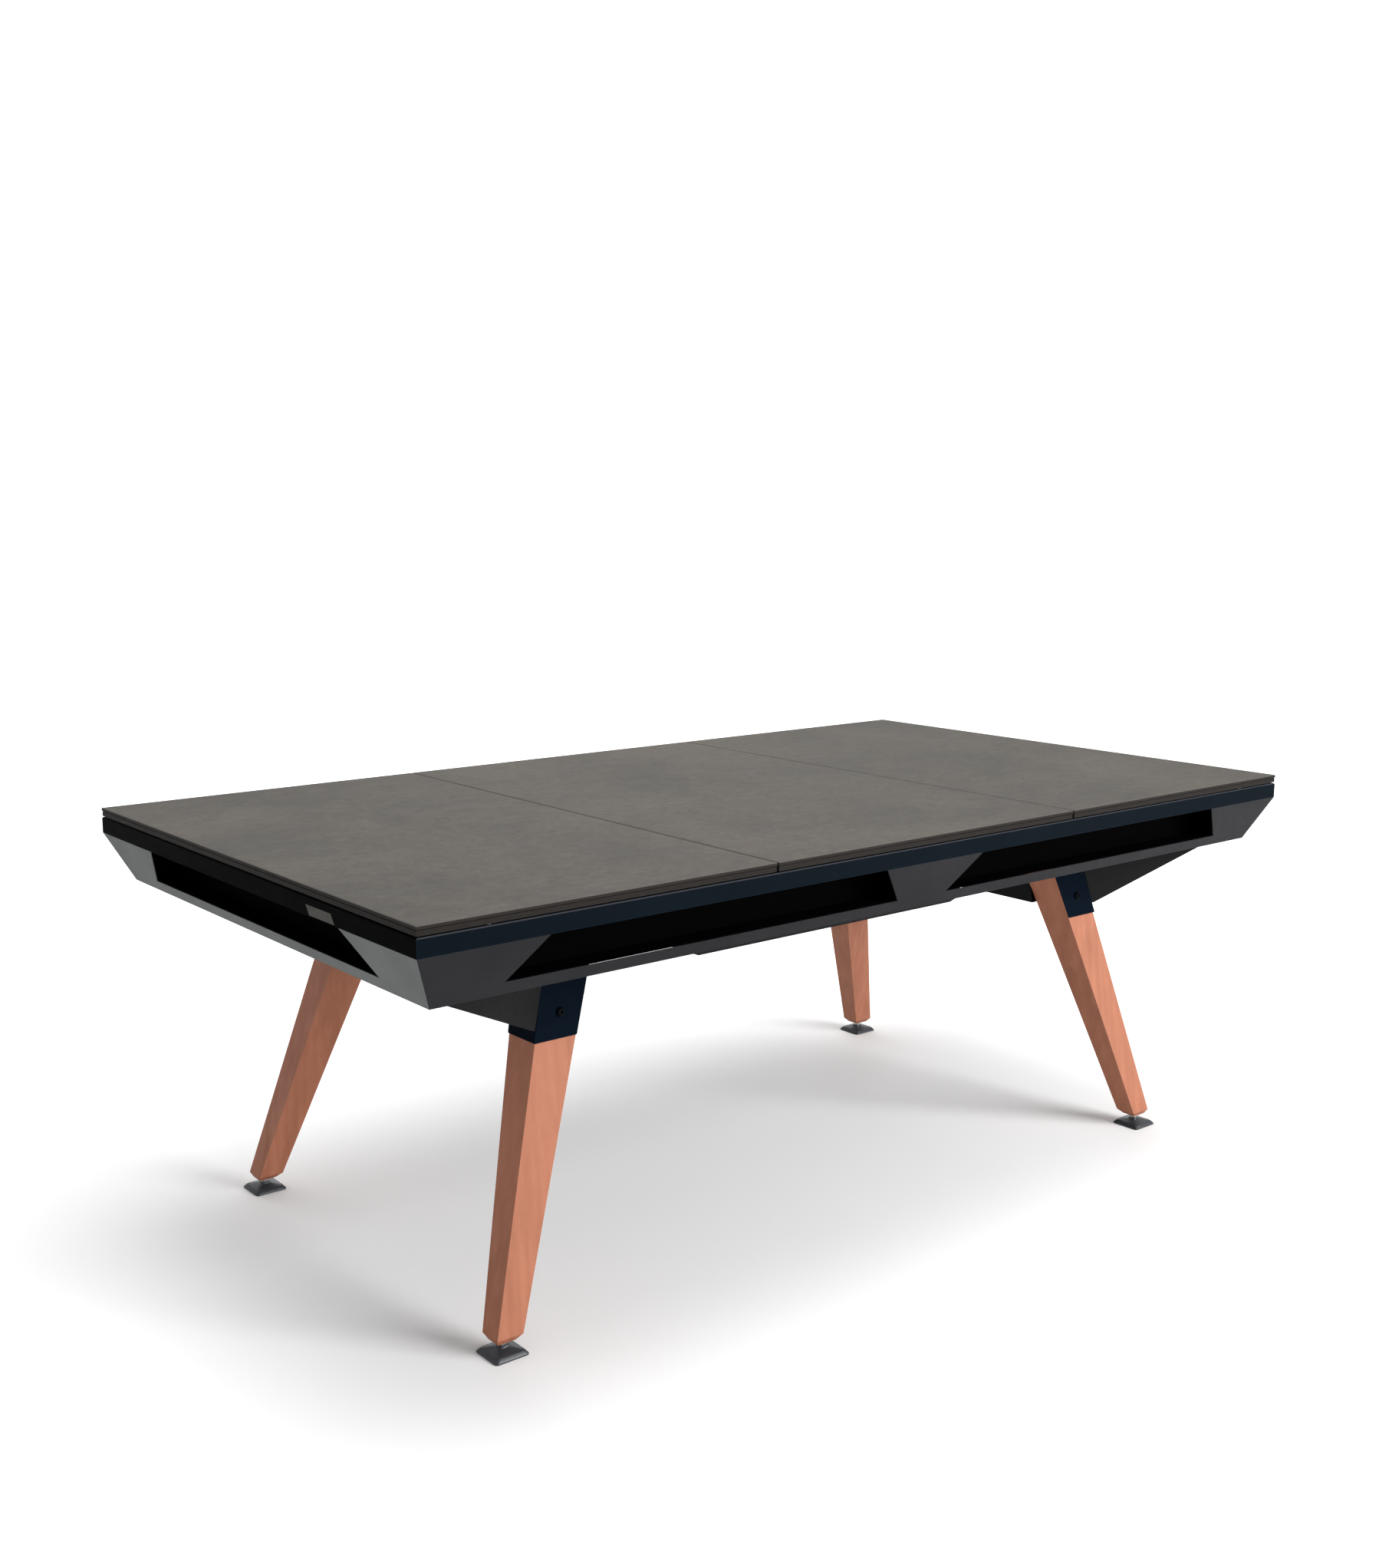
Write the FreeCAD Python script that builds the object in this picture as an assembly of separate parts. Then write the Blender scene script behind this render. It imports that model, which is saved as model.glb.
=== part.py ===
"""Pool table with three lift-off covers, splayed wooden legs and ball returns behind the aprons.

Millimetres. X runs along the table, Y across it and Z up. The origin is on the floor, under the
middle of the table. Front is -Y, back is +Y, left is -X and right is +X.
"""
import FreeCAD
import Part
import math
import os

Vector = FreeCAD.Vector

# Whole table
LENGTH = 2150.0
WIDTH = 1200.0
HEIGHT = 790.0
HALF_L = LENGTH / 2
HALF_W = WIDTH / 2

# Covers
PLATE_T = 6.0
PLATE_BEVEL = 1.2
BOARD_T = 10.0
BOARD_INSET = 1.0
BOARD_BEVEL = 1.8
BUMPER_T = 1.7
BUMPER_R = 4.5
BUMPER_EDGE = 8.5
BUMPER_SEAM = 60.0
BUMPER_INNER_Y = 551.5
BUMPER_END_Y = (-410.0, 355.0)
BUMPER_SIDE_X = 949.0
BLOCK_L = 90.0
BLOCK_H = 12.0
BLOCK_BEHIND_NOSE = (3.0, 14.0)
COVER_SEAM = 3.0
SEAM_X = 385.0
BOARD_TOP = HEIGHT - PLATE_T
BOARD_BOTTOM = BOARD_TOP - BOARD_T

# Rails and cushions: a rail with its cushion is 125 wide, which leaves a 2:1 playing area
RAIL_TOP = BOARD_BOTTOM - 2.0
RAIL_H = 31.0
RAIL_BOTTOM = RAIL_TOP - RAIL_H
RAIL_W = 75.0
RAIL_BEVEL = 2.0
CUSHION_W = 50.0
STRIP_W = 25.0
STRIP_T = 4.0
STRIP_X = (66.0, 905.0)
STRIP_Y = 430.0
CUSHION_DROP = 1.0
CUSHION_NOSE_BEVEL = 5.0
CUSHION_NOSE = (3.5, 7.0)
CUSHION_UNDERCUT = 37.0
PLAY_HALF_L = HALF_L - RAIL_W - CUSHION_W
PLAY_HALF_W = HALF_W - RAIL_W - CUSHION_W
CORNER_MOUTH = 115.0
CORNER_END_ANGLE = math.radians(38)
SIDE_MOUTH = 128.0
SIDE_END_ANGLE = math.radians(76)

# Bed
CLOTH_TOP = RAIL_TOP - 41.0
CLOTH_T = 1.0
SLATE_T = 20.0
BED_MARGIN = 40.0
BED_HALF_L = PLAY_HALF_L + BED_MARGIN
BED_HALF_W = PLAY_HALF_W + BED_MARGIN
SLATE_TOP = CLOTH_TOP - CLOTH_T
SLATE_BOTTOM = SLATE_TOP - SLATE_T

# Pockets
CORNER_X = PLAY_HALF_L + 18.0
CORNER_Y = PLAY_HALF_W + 18.0
SIDE_Y = PLAY_HALF_W + 20.0
CORNER_R = 52.0
SIDE_R = 50.0
CUP_WALL = 4.0
CUP_TAPER = 12.0
CUP_TOP = SLATE_TOP - 0.5
CUP_GAP = 1.0

# Aprons and the ball returns behind them
APRON_BOTTOM = 648.0
APRON_INSET = 45.0
APRON_T = 2.0
APRON_WALL = 2.2
APRON_FLANGE = 22.0
OPENING_SILL = 670.0
OPENING_SLANT = 63.0
SIDE_OPENING = (63.0, 905.0)
END_OPENING = 427.0
TRAY_T = 2.0
TRAY_BOTTOM = OPENING_SILL
TRAY_TOP = SLATE_TOP - 1.0
TRAY_GAP = 0.5
TRAY_END_X = CORNER_X - 40.0
CHUTE_X = SIDE_OPENING[1] - 24.0
CHUTE_Y = BED_HALF_W - 28.0
CHUTE_WAY_Y = CORNER_Y + 40.0
CHUTE_GAP = 2.0

# Cutters run between these heights, past everything that they go through, and start OVER outside a face
CUT_LOW = 0.0
CUT_HIGH = 900.0
OVER = 1.0
SAME_HEIGHT = 0.01
LOFT_TOLERANCE = 0.001

# Chassis: CROSS_TUBES lists each cross tube's place along X and its width
CHASSIS_BOTTOM = 660.0
TUBE_W = 60.0
TUBE_WALL = 3.0
TUBE_Y = 400.0
TUBE_HALF_L = 985.0
CROSS_TUBES = ((0.0, 60.0), (641.0, 80.0), (-641.0, 80.0), (955.0, 60.0), (-955.0, 60.0))
OUTRIGGER_X = (160.0, 500.0, 860.0)
OUTRIGGER_Y = (-240.0, 0.0, 240.0)
OUTRIGGER_W = 40.0
OUTRIGGER_Z = (661.0, 669.0)
OUTRIGGER_GAP = 0.4

# Legs: a tapered square section that splays both ways, given by its faces at two heights
LEG_LOW_Z = 49.0
LEG_HIGH_Z = 587.0
LEG_LOW = (807.0, 859.0, 412.0, 459.0)
LEG_HIGH = (617.0, 707.0, 289.0, 373.0)
LEG_BOTTOM = 24.0
LEG_TOP = CHASSIS_BOTTOM
LEG_POINT = 8.0
LEG_POINT_H = 10.0

# Leg consoles and brackets
CONSOLE_BOTTOM = 515.0
CONSOLE_X = (628.0, 735.0, 1007.0)
CONSOLE_Y = (388.0, 512.0)
CONSOLE_LEG_GAP = 0.5
CONSOLE_BRACKET_GAP = 1.0
SHEET_T = 3.0
BRACKET_BOTTOM = 494.0
BOLT_HEIGHTS = (537.0, 612.0)
BOLT_R = 5.0
BOLT_HEAD_R = 9.0
BOLT_CROWN_R = 6.0
BOLT_HEAD_H = 6.0
BOLT_LENGTH = 60.0
SOCKET_R = 3.0
SOCKET_DEPTH = 3.5

# Levelling feet
FOOT_X = 841.0
FOOT_Y = 441.0
PAD_SIDE = 66.0
PAD_RIM_H = 3.0
PAD_SHOULDER = (56.0, 9.5)
PAD_CROWN = (26.0, 13.0)
PAD_CORNER_R = 6.0
PAD_HUB_R = 11.0
PAD_HUB_TOP = 15.0
STUD_R = 5.0
STUD_FIT = 0.05
STUD_BOTTOM = 5.3
STUD_TOP = 60.0
STUD_END_GAP = 0.3
NUT_Z = (16.5, 21.5)
NUT_ACROSS = 14.0
INSERT_R = 9.0
INSERT_TOP = 54.0
STUD_ROOM_R = 6.5
STUD_ROOM_TOP = 64.0

# Belly pan and badge plate
PAN_HALF_L = 350.0
PAN_HALF_W = 345.0
PAN_BOTTOM = 565.0
PAN_BEVEL = 14.0
PAN_FLANGE_Y = 430.0
BADGE_Z = (742.5, 759.0)
BADGE_TOP_Y = (-342.0, -258.0)
BADGE_LEAN = 12.0
BADGE_T = 1.0
BADGE_GAP = 0.3

CORNERS = (("front_left", -1, -1), ("front_right", 1, -1), ("back_left", -1, 1), ("back_right", 1, 1))


def box(x0, x1, y0, y1, z0, z1):
    """A box between two corners."""
    return Part.makeBox(x1 - x0, y1 - y0, z1 - z0, Vector(x0, y0, z0))


def cylinder(x, y, r, z0, z1):
    """An upright cylinder."""
    return Part.makeCylinder(r, z1 - z0, Vector(x, y, z0))


def prism(points, push):
    """A closed outline, pushed along a vector."""
    corners = [Vector(*p) for p in points]
    return Part.Face(Part.makePolygon(corners + corners[:1])).extrude(Vector(*push))


def plan_prism(points, z0, z1):
    """An outline in plan, between two heights."""
    return prism([(x, y, z0) for x, y in points], (0, 0, z1 - z0))


def rect_corners(x0, x1, y0, y1, z):
    """The corners of a level rectangle."""
    return [Vector(x0, y0, z), Vector(x1, y0, z), Vector(x1, y1, z), Vector(x0, y1, z)]


def rect_loft(low, z_low, high, z_high):
    """A flat-sided solid between two level rectangles, each given as (x0, x1, y0, y1)."""
    a, b = rect_corners(*low, z_low), rect_corners(*high, z_high)
    rings = [a, b]
    for k in range(4):
        n = (k + 1) % 4
        rings.append([a[k], a[n], b[n], b[k]])
    faces = [Part.Face(Part.makePolygon(ring + ring[:1])) for ring in rings]
    solid = Part.Solid(Part.Shell(faces))
    solid.fix(LOFT_TOLERANCE, LOFT_TOLERANCE, LOFT_TOLERANCE)
    return solid


def mirrored(shape, side_x, side_y):
    """The shape of the +X +Y quarter, put in the quarter of the given signs."""
    origin = Vector(0, 0, 0)
    if side_x < 0:
        shape = shape.mirror(origin, Vector(1, 0, 0))
    if side_y < 0:
        shape = shape.mirror(origin, Vector(0, 1, 0))
    return shape


def fused(shapes):
    """One solid from several that meet."""
    return shapes[0].multiFuse(shapes[1:]).removeSplitter()


def save(name, shape):
    """One STEP file for one node. A list becomes a group of separate solids."""
    if isinstance(shape, list):
        shape = Part.makeCompound(shape)
    shape.exportStep("parts/" + name + ".step")


def top_edges(shape, z):
    """The edges of a shape that lie at one height."""
    return [e for e in shape.Edges if all(abs(v.Z - z) < SAME_HEIGHT for v in e.Vertexes)]


# Covers

def cover_span(index):
    """Where a cover starts and ends along X."""
    far = SEAM_X + COVER_SEAM / 2
    near = SEAM_X - COVER_SEAM / 2
    return ((-HALF_L, -far), (-near, near), (far, HALF_L))[index]


def cover_plate(index):
    """A ceramic plate with a bevelled arris."""
    x0, x1 = cover_span(index)
    plate = box(x0, x1, -HALF_W, HALF_W, BOARD_TOP, HEIGHT)
    return plate.makeChamfer(PLATE_BEVEL, top_edges(plate, HEIGHT))


def cover_board(index):
    """The stiff board under a plate, set back and bevelled so that a groove shows between them."""
    x0, x1 = cover_span(index)
    half = HALF_W - BOARD_INSET
    board = box(x0 + BOARD_INSET, x1 - BOARD_INSET, -half, half, BOARD_BOTTOM, BOARD_TOP)
    return board.makeChamfer(BOARD_BEVEL, top_edges(board, BOARD_TOP))


def bumper_places(index):
    """The bumpers stand on the rails, near the edge, two by two."""
    x0, x1 = cover_span(index)
    inner = (-BUMPER_INNER_Y, BUMPER_INNER_Y)
    if index == 1:
        return [(x, y) for x in (x0 + BUMPER_SEAM, x1 - BUMPER_SEAM) for y in inner]
    out = -1 if index == 0 else 1
    end_x = HALF_L - BUMPER_EDGE
    side_y = HALF_W - BUMPER_EDGE
    places = [(out * end_x, y) for y in BUMPER_END_Y]
    places += [(out * BUMPER_SIDE_X, y) for y in (-side_y, side_y)]
    places += [(out * (SEAM_X + BUMPER_SEAM), y) for y in inner]
    return places


def locating_blocks(index):
    """Blocks that hang inside the cushion noses and stop a cover from sliding."""
    x0, x1 = cover_span(index)
    a, b = (x0 + x1 - BLOCK_L) / 2, (x0 + x1 + BLOCK_L) / 2
    low, top = BOARD_BOTTOM - BLOCK_H, BOARD_BOTTOM
    near, far = BLOCK_BEHIND_NOSE
    y0, y1 = PLAY_HALF_W - far, PLAY_HALF_W - near
    blocks = [box(a, b, y0, y1, low, top), box(a, b, -y1, -y0, low, top)]
    if index != 1:
        out = -1 if index == 0 else 1
        xa, xb = sorted((out * (PLAY_HALF_L - far), out * (PLAY_HALF_L - near)))
        blocks.append(box(xa, xb, -BLOCK_L / 2, BLOCK_L / 2, low, top))
    return blocks


def cover_pads(index):
    """The rubber bumpers and locating blocks of one cover."""
    z1 = BOARD_BOTTOM
    bumpers = [cylinder(x, y, BUMPER_R, z1 - BUMPER_T, z1) for x, y in bumper_places(index)]
    return bumpers + locating_blocks(index)


# Bed, rails and cushions

def pocket_drills(extra):
    """Upright cylinders through all six pockets."""
    drills = []
    for _, sx, sy in CORNERS:
        drills.append(cylinder(sx * CORNER_X, sy * CORNER_Y, CORNER_R + extra, CUT_LOW, CUT_HIGH))
    for sy in (-1, 1):
        drills.append(cylinder(0, sy * SIDE_Y, SIDE_R + extra, CUT_LOW, CUT_HIGH))
    return drills


def return_notches():
    """Where the bed makes room for a ball between a corner pocket and its return tray."""
    x0, y0 = CHUTE_X - CHUTE_GAP, CHUTE_Y - CHUTE_GAP
    notch = box(x0, BED_HALF_L + OVER, y0, BED_HALF_W + OVER, CUT_LOW, CUT_HIGH)
    return [mirrored(notch, sx, sy) for _, sx, sy in CORNERS]


def bed_layer(z0, z1):
    """One layer of the bed, cut out at the pockets."""
    layer = box(-BED_HALF_L, BED_HALF_L, -BED_HALF_W, BED_HALF_W, z0, z1)
    for cutter in pocket_drills(CUP_WALL + CUP_GAP) + return_notches():
        layer = layer.cut(cutter)
    return layer


def rail_profile(half):
    """Section of a rail as (distance from the middle of the table, height)."""
    inner = half - RAIL_W
    return [
        (half, RAIL_BOTTOM), (half, RAIL_TOP - RAIL_BEVEL), (half - RAIL_BEVEL, RAIL_TOP),
        (inner, RAIL_TOP), (inner, RAIL_BOTTOM),
    ]


def strip_profile(half):
    """Section of the angle under a cushion, which hangs from the rail and rests on the cloth."""
    inner = half - RAIL_W
    return [
        (inner - STRIP_W, CLOTH_TOP), (inner + STRIP_T, CLOTH_TOP), (inner + STRIP_T, RAIL_BOTTOM),
        (inner, RAIL_BOTTOM), (inner, CLOTH_TOP + STRIP_T), (inner - STRIP_W, CLOTH_TOP + STRIP_T),
    ]


def side_wedge():
    """Plan shape that the long sides own, bounded by the 45 degree mitres."""
    mid = HALF_L - HALF_W
    return plan_prism([(-HALF_L, HALF_W), (HALF_L, HALF_W), (mid, 0), (-mid, 0)], CUT_LOW, CUT_HIGH)


def end_wedge():
    """Plan shape that the short sides own."""
    return plan_prism([(HALF_L, HALF_W), (HALF_L, -HALF_W), (HALF_L - HALF_W, 0)], CUT_LOW, CUT_HIGH)


def badge_outline(grow):
    """The leaning four-sided outline of the badge plate, grown all round."""
    z0, z1 = BADGE_Z[0] - grow, BADGE_Z[1] + grow
    y0, y1 = BADGE_TOP_Y[0] - grow, BADGE_TOP_Y[1] + grow
    x = -HALF_L
    return [(x, y0, z1), (x, y1, z1), (x, y1 - BADGE_LEAN, z0), (x, y0 - BADGE_LEAN, z0)]


def badge_plate():
    """A blank plate let into the left rail."""
    return prism(badge_outline(0), (BADGE_T, 0, 0))


def long_rail():
    """The back rail, mitred at both ends."""
    outline = [(-HALF_L, y, z) for y, z in rail_profile(HALF_W)]
    rail = prism(outline, (LENGTH, 0, 0)).common(side_wedge())
    for drill in pocket_drills(CUP_WALL + CUP_GAP):
        rail = rail.cut(drill)
    return rail


def short_rail():
    """The right rail, mitred at both ends."""
    outline = [(x, -HALF_W, z) for x, z in rail_profile(HALF_L)]
    rail = prism(outline, (0, WIDTH, 0)).common(end_wedge())
    for drill in pocket_drills(CUP_WALL + CUP_GAP):
        rail = rail.cut(drill)
    return rail


def cushion_strips():
    """The angles that carry the six cushions."""
    a, b = STRIP_X
    long_strip = prism([(a, y, z) for y, z in strip_profile(HALF_W)], (b - a, 0, 0))
    strips = [mirrored(long_strip, sx, sy) for _, sx, sy in CORNERS]
    end_strip = prism([(x, -STRIP_Y, z) for x, z in strip_profile(HALF_L)], (0, 2 * STRIP_Y, 0))
    return strips + [end_strip, mirrored(end_strip, -1, 1)]


def cushion_profile(play_half):
    """Section of a cushion as (distance from the middle of the table, height)."""
    back = play_half + CUSHION_W
    top = RAIL_TOP - CUSHION_DROP
    nose_top, nose_bottom = CUSHION_NOSE
    return [
        (back, top), (play_half + CUSHION_NOSE_BEVEL, top),
        (play_half, top - nose_top), (play_half, top - nose_bottom),
        (play_half + CUSHION_UNDERCUT, CLOTH_TOP + STRIP_T), (back, CLOTH_TOP + STRIP_T),
    ]


def corner_reach(play_half):
    """Where a cushion ends at a corner pocket: along the nose, and along the back."""
    nose = play_half - CORNER_MOUTH / math.sqrt(2)
    return nose, nose + CUSHION_W / math.tan(CORNER_END_ANGLE)


def long_cushion():
    """The cushion from the right corner pocket to the side pocket, on the back rail."""
    nose, back = corner_reach(PLAY_HALF_L)
    side = SIDE_MOUTH / 2
    side_back = side - CUSHION_W / math.tan(SIDE_END_ANGLE)
    y0, y1 = PLAY_HALF_W, PLAY_HALF_W + CUSHION_W
    plan = plan_prism([(side, y0), (nose, y0), (back, y1), (side_back, y1)], CUT_LOW, CUT_HIGH)
    outline = [(0, y, z) for y, z in cushion_profile(PLAY_HALF_W)]
    cushion = prism(outline, (HALF_L, 0, 0)).common(plan)
    for drill in pocket_drills(CUP_GAP):
        cushion = cushion.cut(drill)
    return cushion


def short_cushion():
    """The cushion between the two corner pockets of the right rail."""
    nose, back = corner_reach(PLAY_HALF_W)
    x0, x1 = PLAY_HALF_L, PLAY_HALF_L + CUSHION_W
    plan = plan_prism([(x0, -nose), (x0, nose), (x1, back), (x1, -back)], CUT_LOW, CUT_HIGH)
    outline = [(x, -HALF_W, z) for x, z in cushion_profile(PLAY_HALF_L)]
    cushion = prism(outline, (0, WIDTH, 0)).common(plan)
    for drill in pocket_drills(CUP_GAP):
        cushion = cushion.cut(drill)
    return cushion


# Aprons and ball returns

def hopper(shrink, z0=APRON_BOTTOM, z1=RAIL_BOTTOM):
    """The inward-sloping solid under the rails, made smaller all round by shrink."""
    slope = APRON_INSET / (RAIL_BOTTOM - APRON_BOTTOM)
    rects = []
    for z in (z0, z1):
        inset = slope * (RAIL_BOTTOM - z) + shrink
        rects.append((inset - HALF_L, HALF_L - inset, inset - HALF_W, HALF_W - inset))
    return rect_loft(rects[0], z0, rects[1], z1)


def apron_ring():
    """The four sloping walls with the flange along their bottom edge."""
    walls = hopper(0).cut(hopper(APRON_WALL))
    z1 = APRON_BOTTOM + APRON_T
    hole_l = HALF_L - APRON_INSET - APRON_FLANGE
    hole_w = HALF_W - APRON_INSET - APRON_FLANGE
    flange = hopper(0, APRON_BOTTOM, z1).cut(box(-hole_l, hole_l, -hole_w, hole_w, CUT_LOW, CUT_HIGH))
    return walls.fuse(flange).removeSplitter()


def side_opening():
    """Cutter for one long-side opening: wide at the sill, narrower under the rail."""
    a, b = SIDE_OPENING
    z0, z1 = OPENING_SILL, RAIL_BOTTOM + OVER
    outline = [(a, z0), (b, z0), (b - OPENING_SLANT, z1), (a + OPENING_SLANT, z1)]
    return prism([(x, BED_HALF_W, z) for x, z in outline], (0, HALF_W, 0))


def end_opening():
    """Cutter for the short-side opening."""
    b = END_OPENING
    z0, z1 = OPENING_SILL, RAIL_BOTTOM + OVER
    outline = [(-b, z0), (b, z0), (b - OPENING_SLANT, z1), (OPENING_SLANT - b, z1)]
    return prism([(BED_HALF_L, y, z) for y, z in outline], (HALF_W, 0, 0))


def long_apron():
    """The back apron with its two openings."""
    apron = apron_ring().common(side_wedge())
    cutter = side_opening()
    return apron.cut(cutter).cut(mirrored(cutter, -1, 1))


def short_apron():
    """The right apron with its one opening."""
    return apron_ring().common(end_wedge()).cut(end_opening())


def cup(x, y, radius, bottom):
    """A tapered pocket cup, and the space inside it."""
    height = CUP_TOP - bottom
    low = radius - CUP_TAPER
    outside = Part.makeCone(low + CUP_WALL, radius + CUP_WALL, height, Vector(x, y, bottom))
    floor = bottom + TRAY_T + TRAY_GAP
    inside = Part.makeCone(low, radius, CUP_TOP - floor, Vector(x, y, floor))
    return outside, inside


def ball_way():
    """The space that a ball rolls through, from the corner cup into the return tray."""
    x0, y0, z0 = SIDE_OPENING[0], BED_HALF_W + TRAY_GAP + TRAY_T, TRAY_BOTTOM + TRAY_T
    trough = box(x0, TRAY_END_X + CUP_TAPER, y0, HALF_W, z0, HEIGHT)
    return trough.fuse(box(CHUTE_X + TRAY_T, CORNER_X, CHUTE_Y + TRAY_T, CHUTE_WAY_Y, z0, HEIGHT))


def return_tray():
    """The tray behind a long-side opening, with the chute that leads to it from the corner cup."""
    z0 = TRAY_BOTTOM
    trough = box(SIDE_OPENING[0] - TRAY_T, TRAY_END_X, BED_HALF_W + TRAY_GAP, HALF_W, z0, TRAY_TOP)
    chute = box(CHUTE_X, TRAY_END_X, CHUTE_Y, HALF_W, z0, TRAY_TOP)
    room = hopper(APRON_T + TRAY_GAP, z0, TRAY_TOP)
    body = fused([trough.common(room), chute.common(room)])
    outside, _ = cup(CORNER_X, CORNER_Y, CORNER_R, z0 - CUP_GAP)
    return body.cut(ball_way()).cut(outside)


def corner_cup():
    """The cup of the back right corner pocket, open on the side of its chute."""
    outside, inside = cup(CORNER_X, CORNER_Y, CORNER_R, TRAY_BOTTOM - CUP_GAP)
    return outside.cut(inside).cut(ball_way())


def side_cup():
    """The cup of the back side pocket."""
    outside, inside = cup(0, SIDE_Y, SIDE_R, OPENING_SILL)
    return outside.cut(inside)


def end_tray():
    """The tray behind the right opening."""
    z0 = TRAY_BOTTOM
    x0 = BED_HALF_L + TRAY_GAP
    b = END_OPENING
    room = hopper(APRON_T + TRAY_GAP, z0, TRAY_TOP)
    body = box(x0, HALF_L, -b, b, z0, TRAY_TOP).common(room)
    return body.cut(box(x0 + TRAY_T, HALF_L, TRAY_T - b, b - TRAY_T, z0 + TRAY_T, HEIGHT))


# Chassis

def rect_tube(x0, x1, y0, y1, z0, z1, along):
    """A rectangular steel tube, open at its two ends along X or Y."""
    w = TUBE_WALL
    if along == "x":
        core = box(x0 - OVER, x1 + OVER, y0 + w, y1 - w, z0 + w, z1 - w)
    else:
        core = box(x0 + w, x1 - w, y0 - OVER, y1 + OVER, z0 + w, z1 - w)
    return box(x0, x1, y0, y1, z0, z1).cut(core)


def chassis_frame():
    """The welded frame: two tubes along the table, and the cross tubes between them."""
    tubes = []
    for side in (-1, 1):
        y0, y1 = side * TUBE_Y - TUBE_W / 2, side * TUBE_Y + TUBE_W / 2
        tubes.append(rect_tube(-TUBE_HALF_L, TUBE_HALF_L, y0, y1, CHASSIS_BOTTOM, SLATE_BOTTOM, "x"))
    y1 = TUBE_Y - TUBE_W / 2
    for x, w in CROSS_TUBES:
        tubes.append(rect_tube(x - w / 2, x + w / 2, -y1, y1, CHASSIS_BOTTOM, SLATE_BOTTOM, "y"))
    return tubes


def outriggers():
    """Flat bars that carry the aprons from the chassis."""
    z0, z1 = OUTRIGGER_Z
    room = hopper(APRON_T + OUTRIGGER_GAP, z0, z1)
    w = OUTRIGGER_W / 2
    bars = []
    for x in OUTRIGGER_X:
        bar = box(x - w, x + w, TUBE_Y + TUBE_W / 2, HALF_W, z0, z1).common(room)
        bars += [mirrored(bar, sx, sy) for _, sx, sy in CORNERS]
    for y in OUTRIGGER_Y:
        bar = box(TUBE_HALF_L, HALF_L, y - w, y + w, z0, z1).common(room)
        bars += [bar, mirrored(bar, -1, 1)]
    return bars


# Legs

def leg_rect(z, grow=0.0):
    """The leg's section at a height, as (x0, x1, y0, y1); grow widens its two outer faces."""
    share = (z - LEG_LOW_Z) / (LEG_HIGH_Z - LEG_LOW_Z)
    faces = [low + share * (high - low) for low, high in zip(LEG_LOW, LEG_HIGH)]
    return faces[0], faces[1] + grow, faces[2], faces[3] + grow


def leg_blank():
    """The tapered, splayed leg with its pointed-in foot."""
    z1 = LEG_BOTTOM + LEG_POINT_H
    x0, x1, y0, y1 = leg_rect(LEG_BOTTOM)
    p = LEG_POINT
    tip = rect_loft((x0 + p, x1 - p, y0 + p, y1 - p), LEG_BOTTOM, leg_rect(z1), z1)
    return tip.fuse(rect_loft(leg_rect(z1), z1, leg_rect(LEG_TOP), LEG_TOP)).removeSplitter()


def outer_face_normal():
    """The direction that the leg's back face looks in."""
    slope = (LEG_LOW[3] - LEG_HIGH[3]) / (LEG_HIGH_Z - LEG_LOW_Z)
    normal = Vector(0, 1, slope)
    normal.normalize()
    return normal


def bolt_seat(z):
    """Where a leg bolt's head sits on the bracket."""
    x0, x1, _, y1 = leg_rect(z, SHEET_T)
    return Vector((x0 + x1) / 2, y1, z)


def leg_bolt(z):
    """A domed socket bolt through the bracket into the leg."""
    normal = outer_face_normal()
    seat = bolt_seat(z)
    shank = Part.makeCylinder(BOLT_R, BOLT_LENGTH, seat - normal * BOLT_LENGTH, normal)
    head = Part.makeCone(BOLT_HEAD_R, BOLT_CROWN_R, BOLT_HEAD_H, seat, normal)
    socket_floor = seat + normal * (BOLT_HEAD_H - SOCKET_DEPTH)
    return shank.fuse(head).cut(Part.makeCylinder(SOCKET_R, SOCKET_DEPTH + OVER, socket_floor, normal))


def bolt_hole(z):
    """The hole that a leg bolt needs."""
    normal = outer_face_normal()
    bottom = bolt_seat(z) - normal * (BOLT_LENGTH + OVER)
    return Part.makeCylinder(BOLT_R, BOLT_LENGTH + 2 * OVER, bottom, normal)


def leg():
    """The back right leg, bored for its bolts and its levelling foot."""
    wood = leg_blank()
    wood = wood.cut(cylinder(FOOT_X, FOOT_Y, INSERT_R, 0, INSERT_TOP))
    wood = wood.cut(cylinder(FOOT_X, FOOT_Y, STUD_ROOM_R, 0, STUD_ROOM_TOP))
    for z in BOLT_HEIGHTS:
        wood = wood.cut(bolt_hole(z))
    return wood


def leg_bracket():
    """The folded plate that wraps the leg's two outer faces."""
    z0, z1 = BRACKET_BOTTOM, LEG_TOP
    wrap = rect_loft(leg_rect(z0, SHEET_T), z0, leg_rect(z1, SHEET_T), z1)
    wrap = wrap.cut(leg_blank())
    for z in BOLT_HEIGHTS:
        wrap = wrap.cut(bolt_hole(z))
    return wrap


def console_beam():
    """The box between the two legs of one end, closed on the faces that show."""
    x0, x1 = CONSOLE_X[:2]
    z0, z1 = CONSOLE_BOTTOM, CHASSIS_BOTTOM
    y_low, y_high = leg_rect(z0)[2] - CONSOLE_LEG_GAP, leg_rect(z1)[2] - CONSOLE_LEG_GAP
    t = SHEET_T
    outline = [(x0, -y_low, z0), (x0, y_low, z0), (x0, y_high, z1), (x0, -y_high, z1)]
    beam = prism(outline, (x1 - x0, 0, 0))
    core = box(x0 + t, x1 - t, -HALF_W, HALF_W, z0 + t, z1 - t)
    return beam.cut(core)


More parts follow.
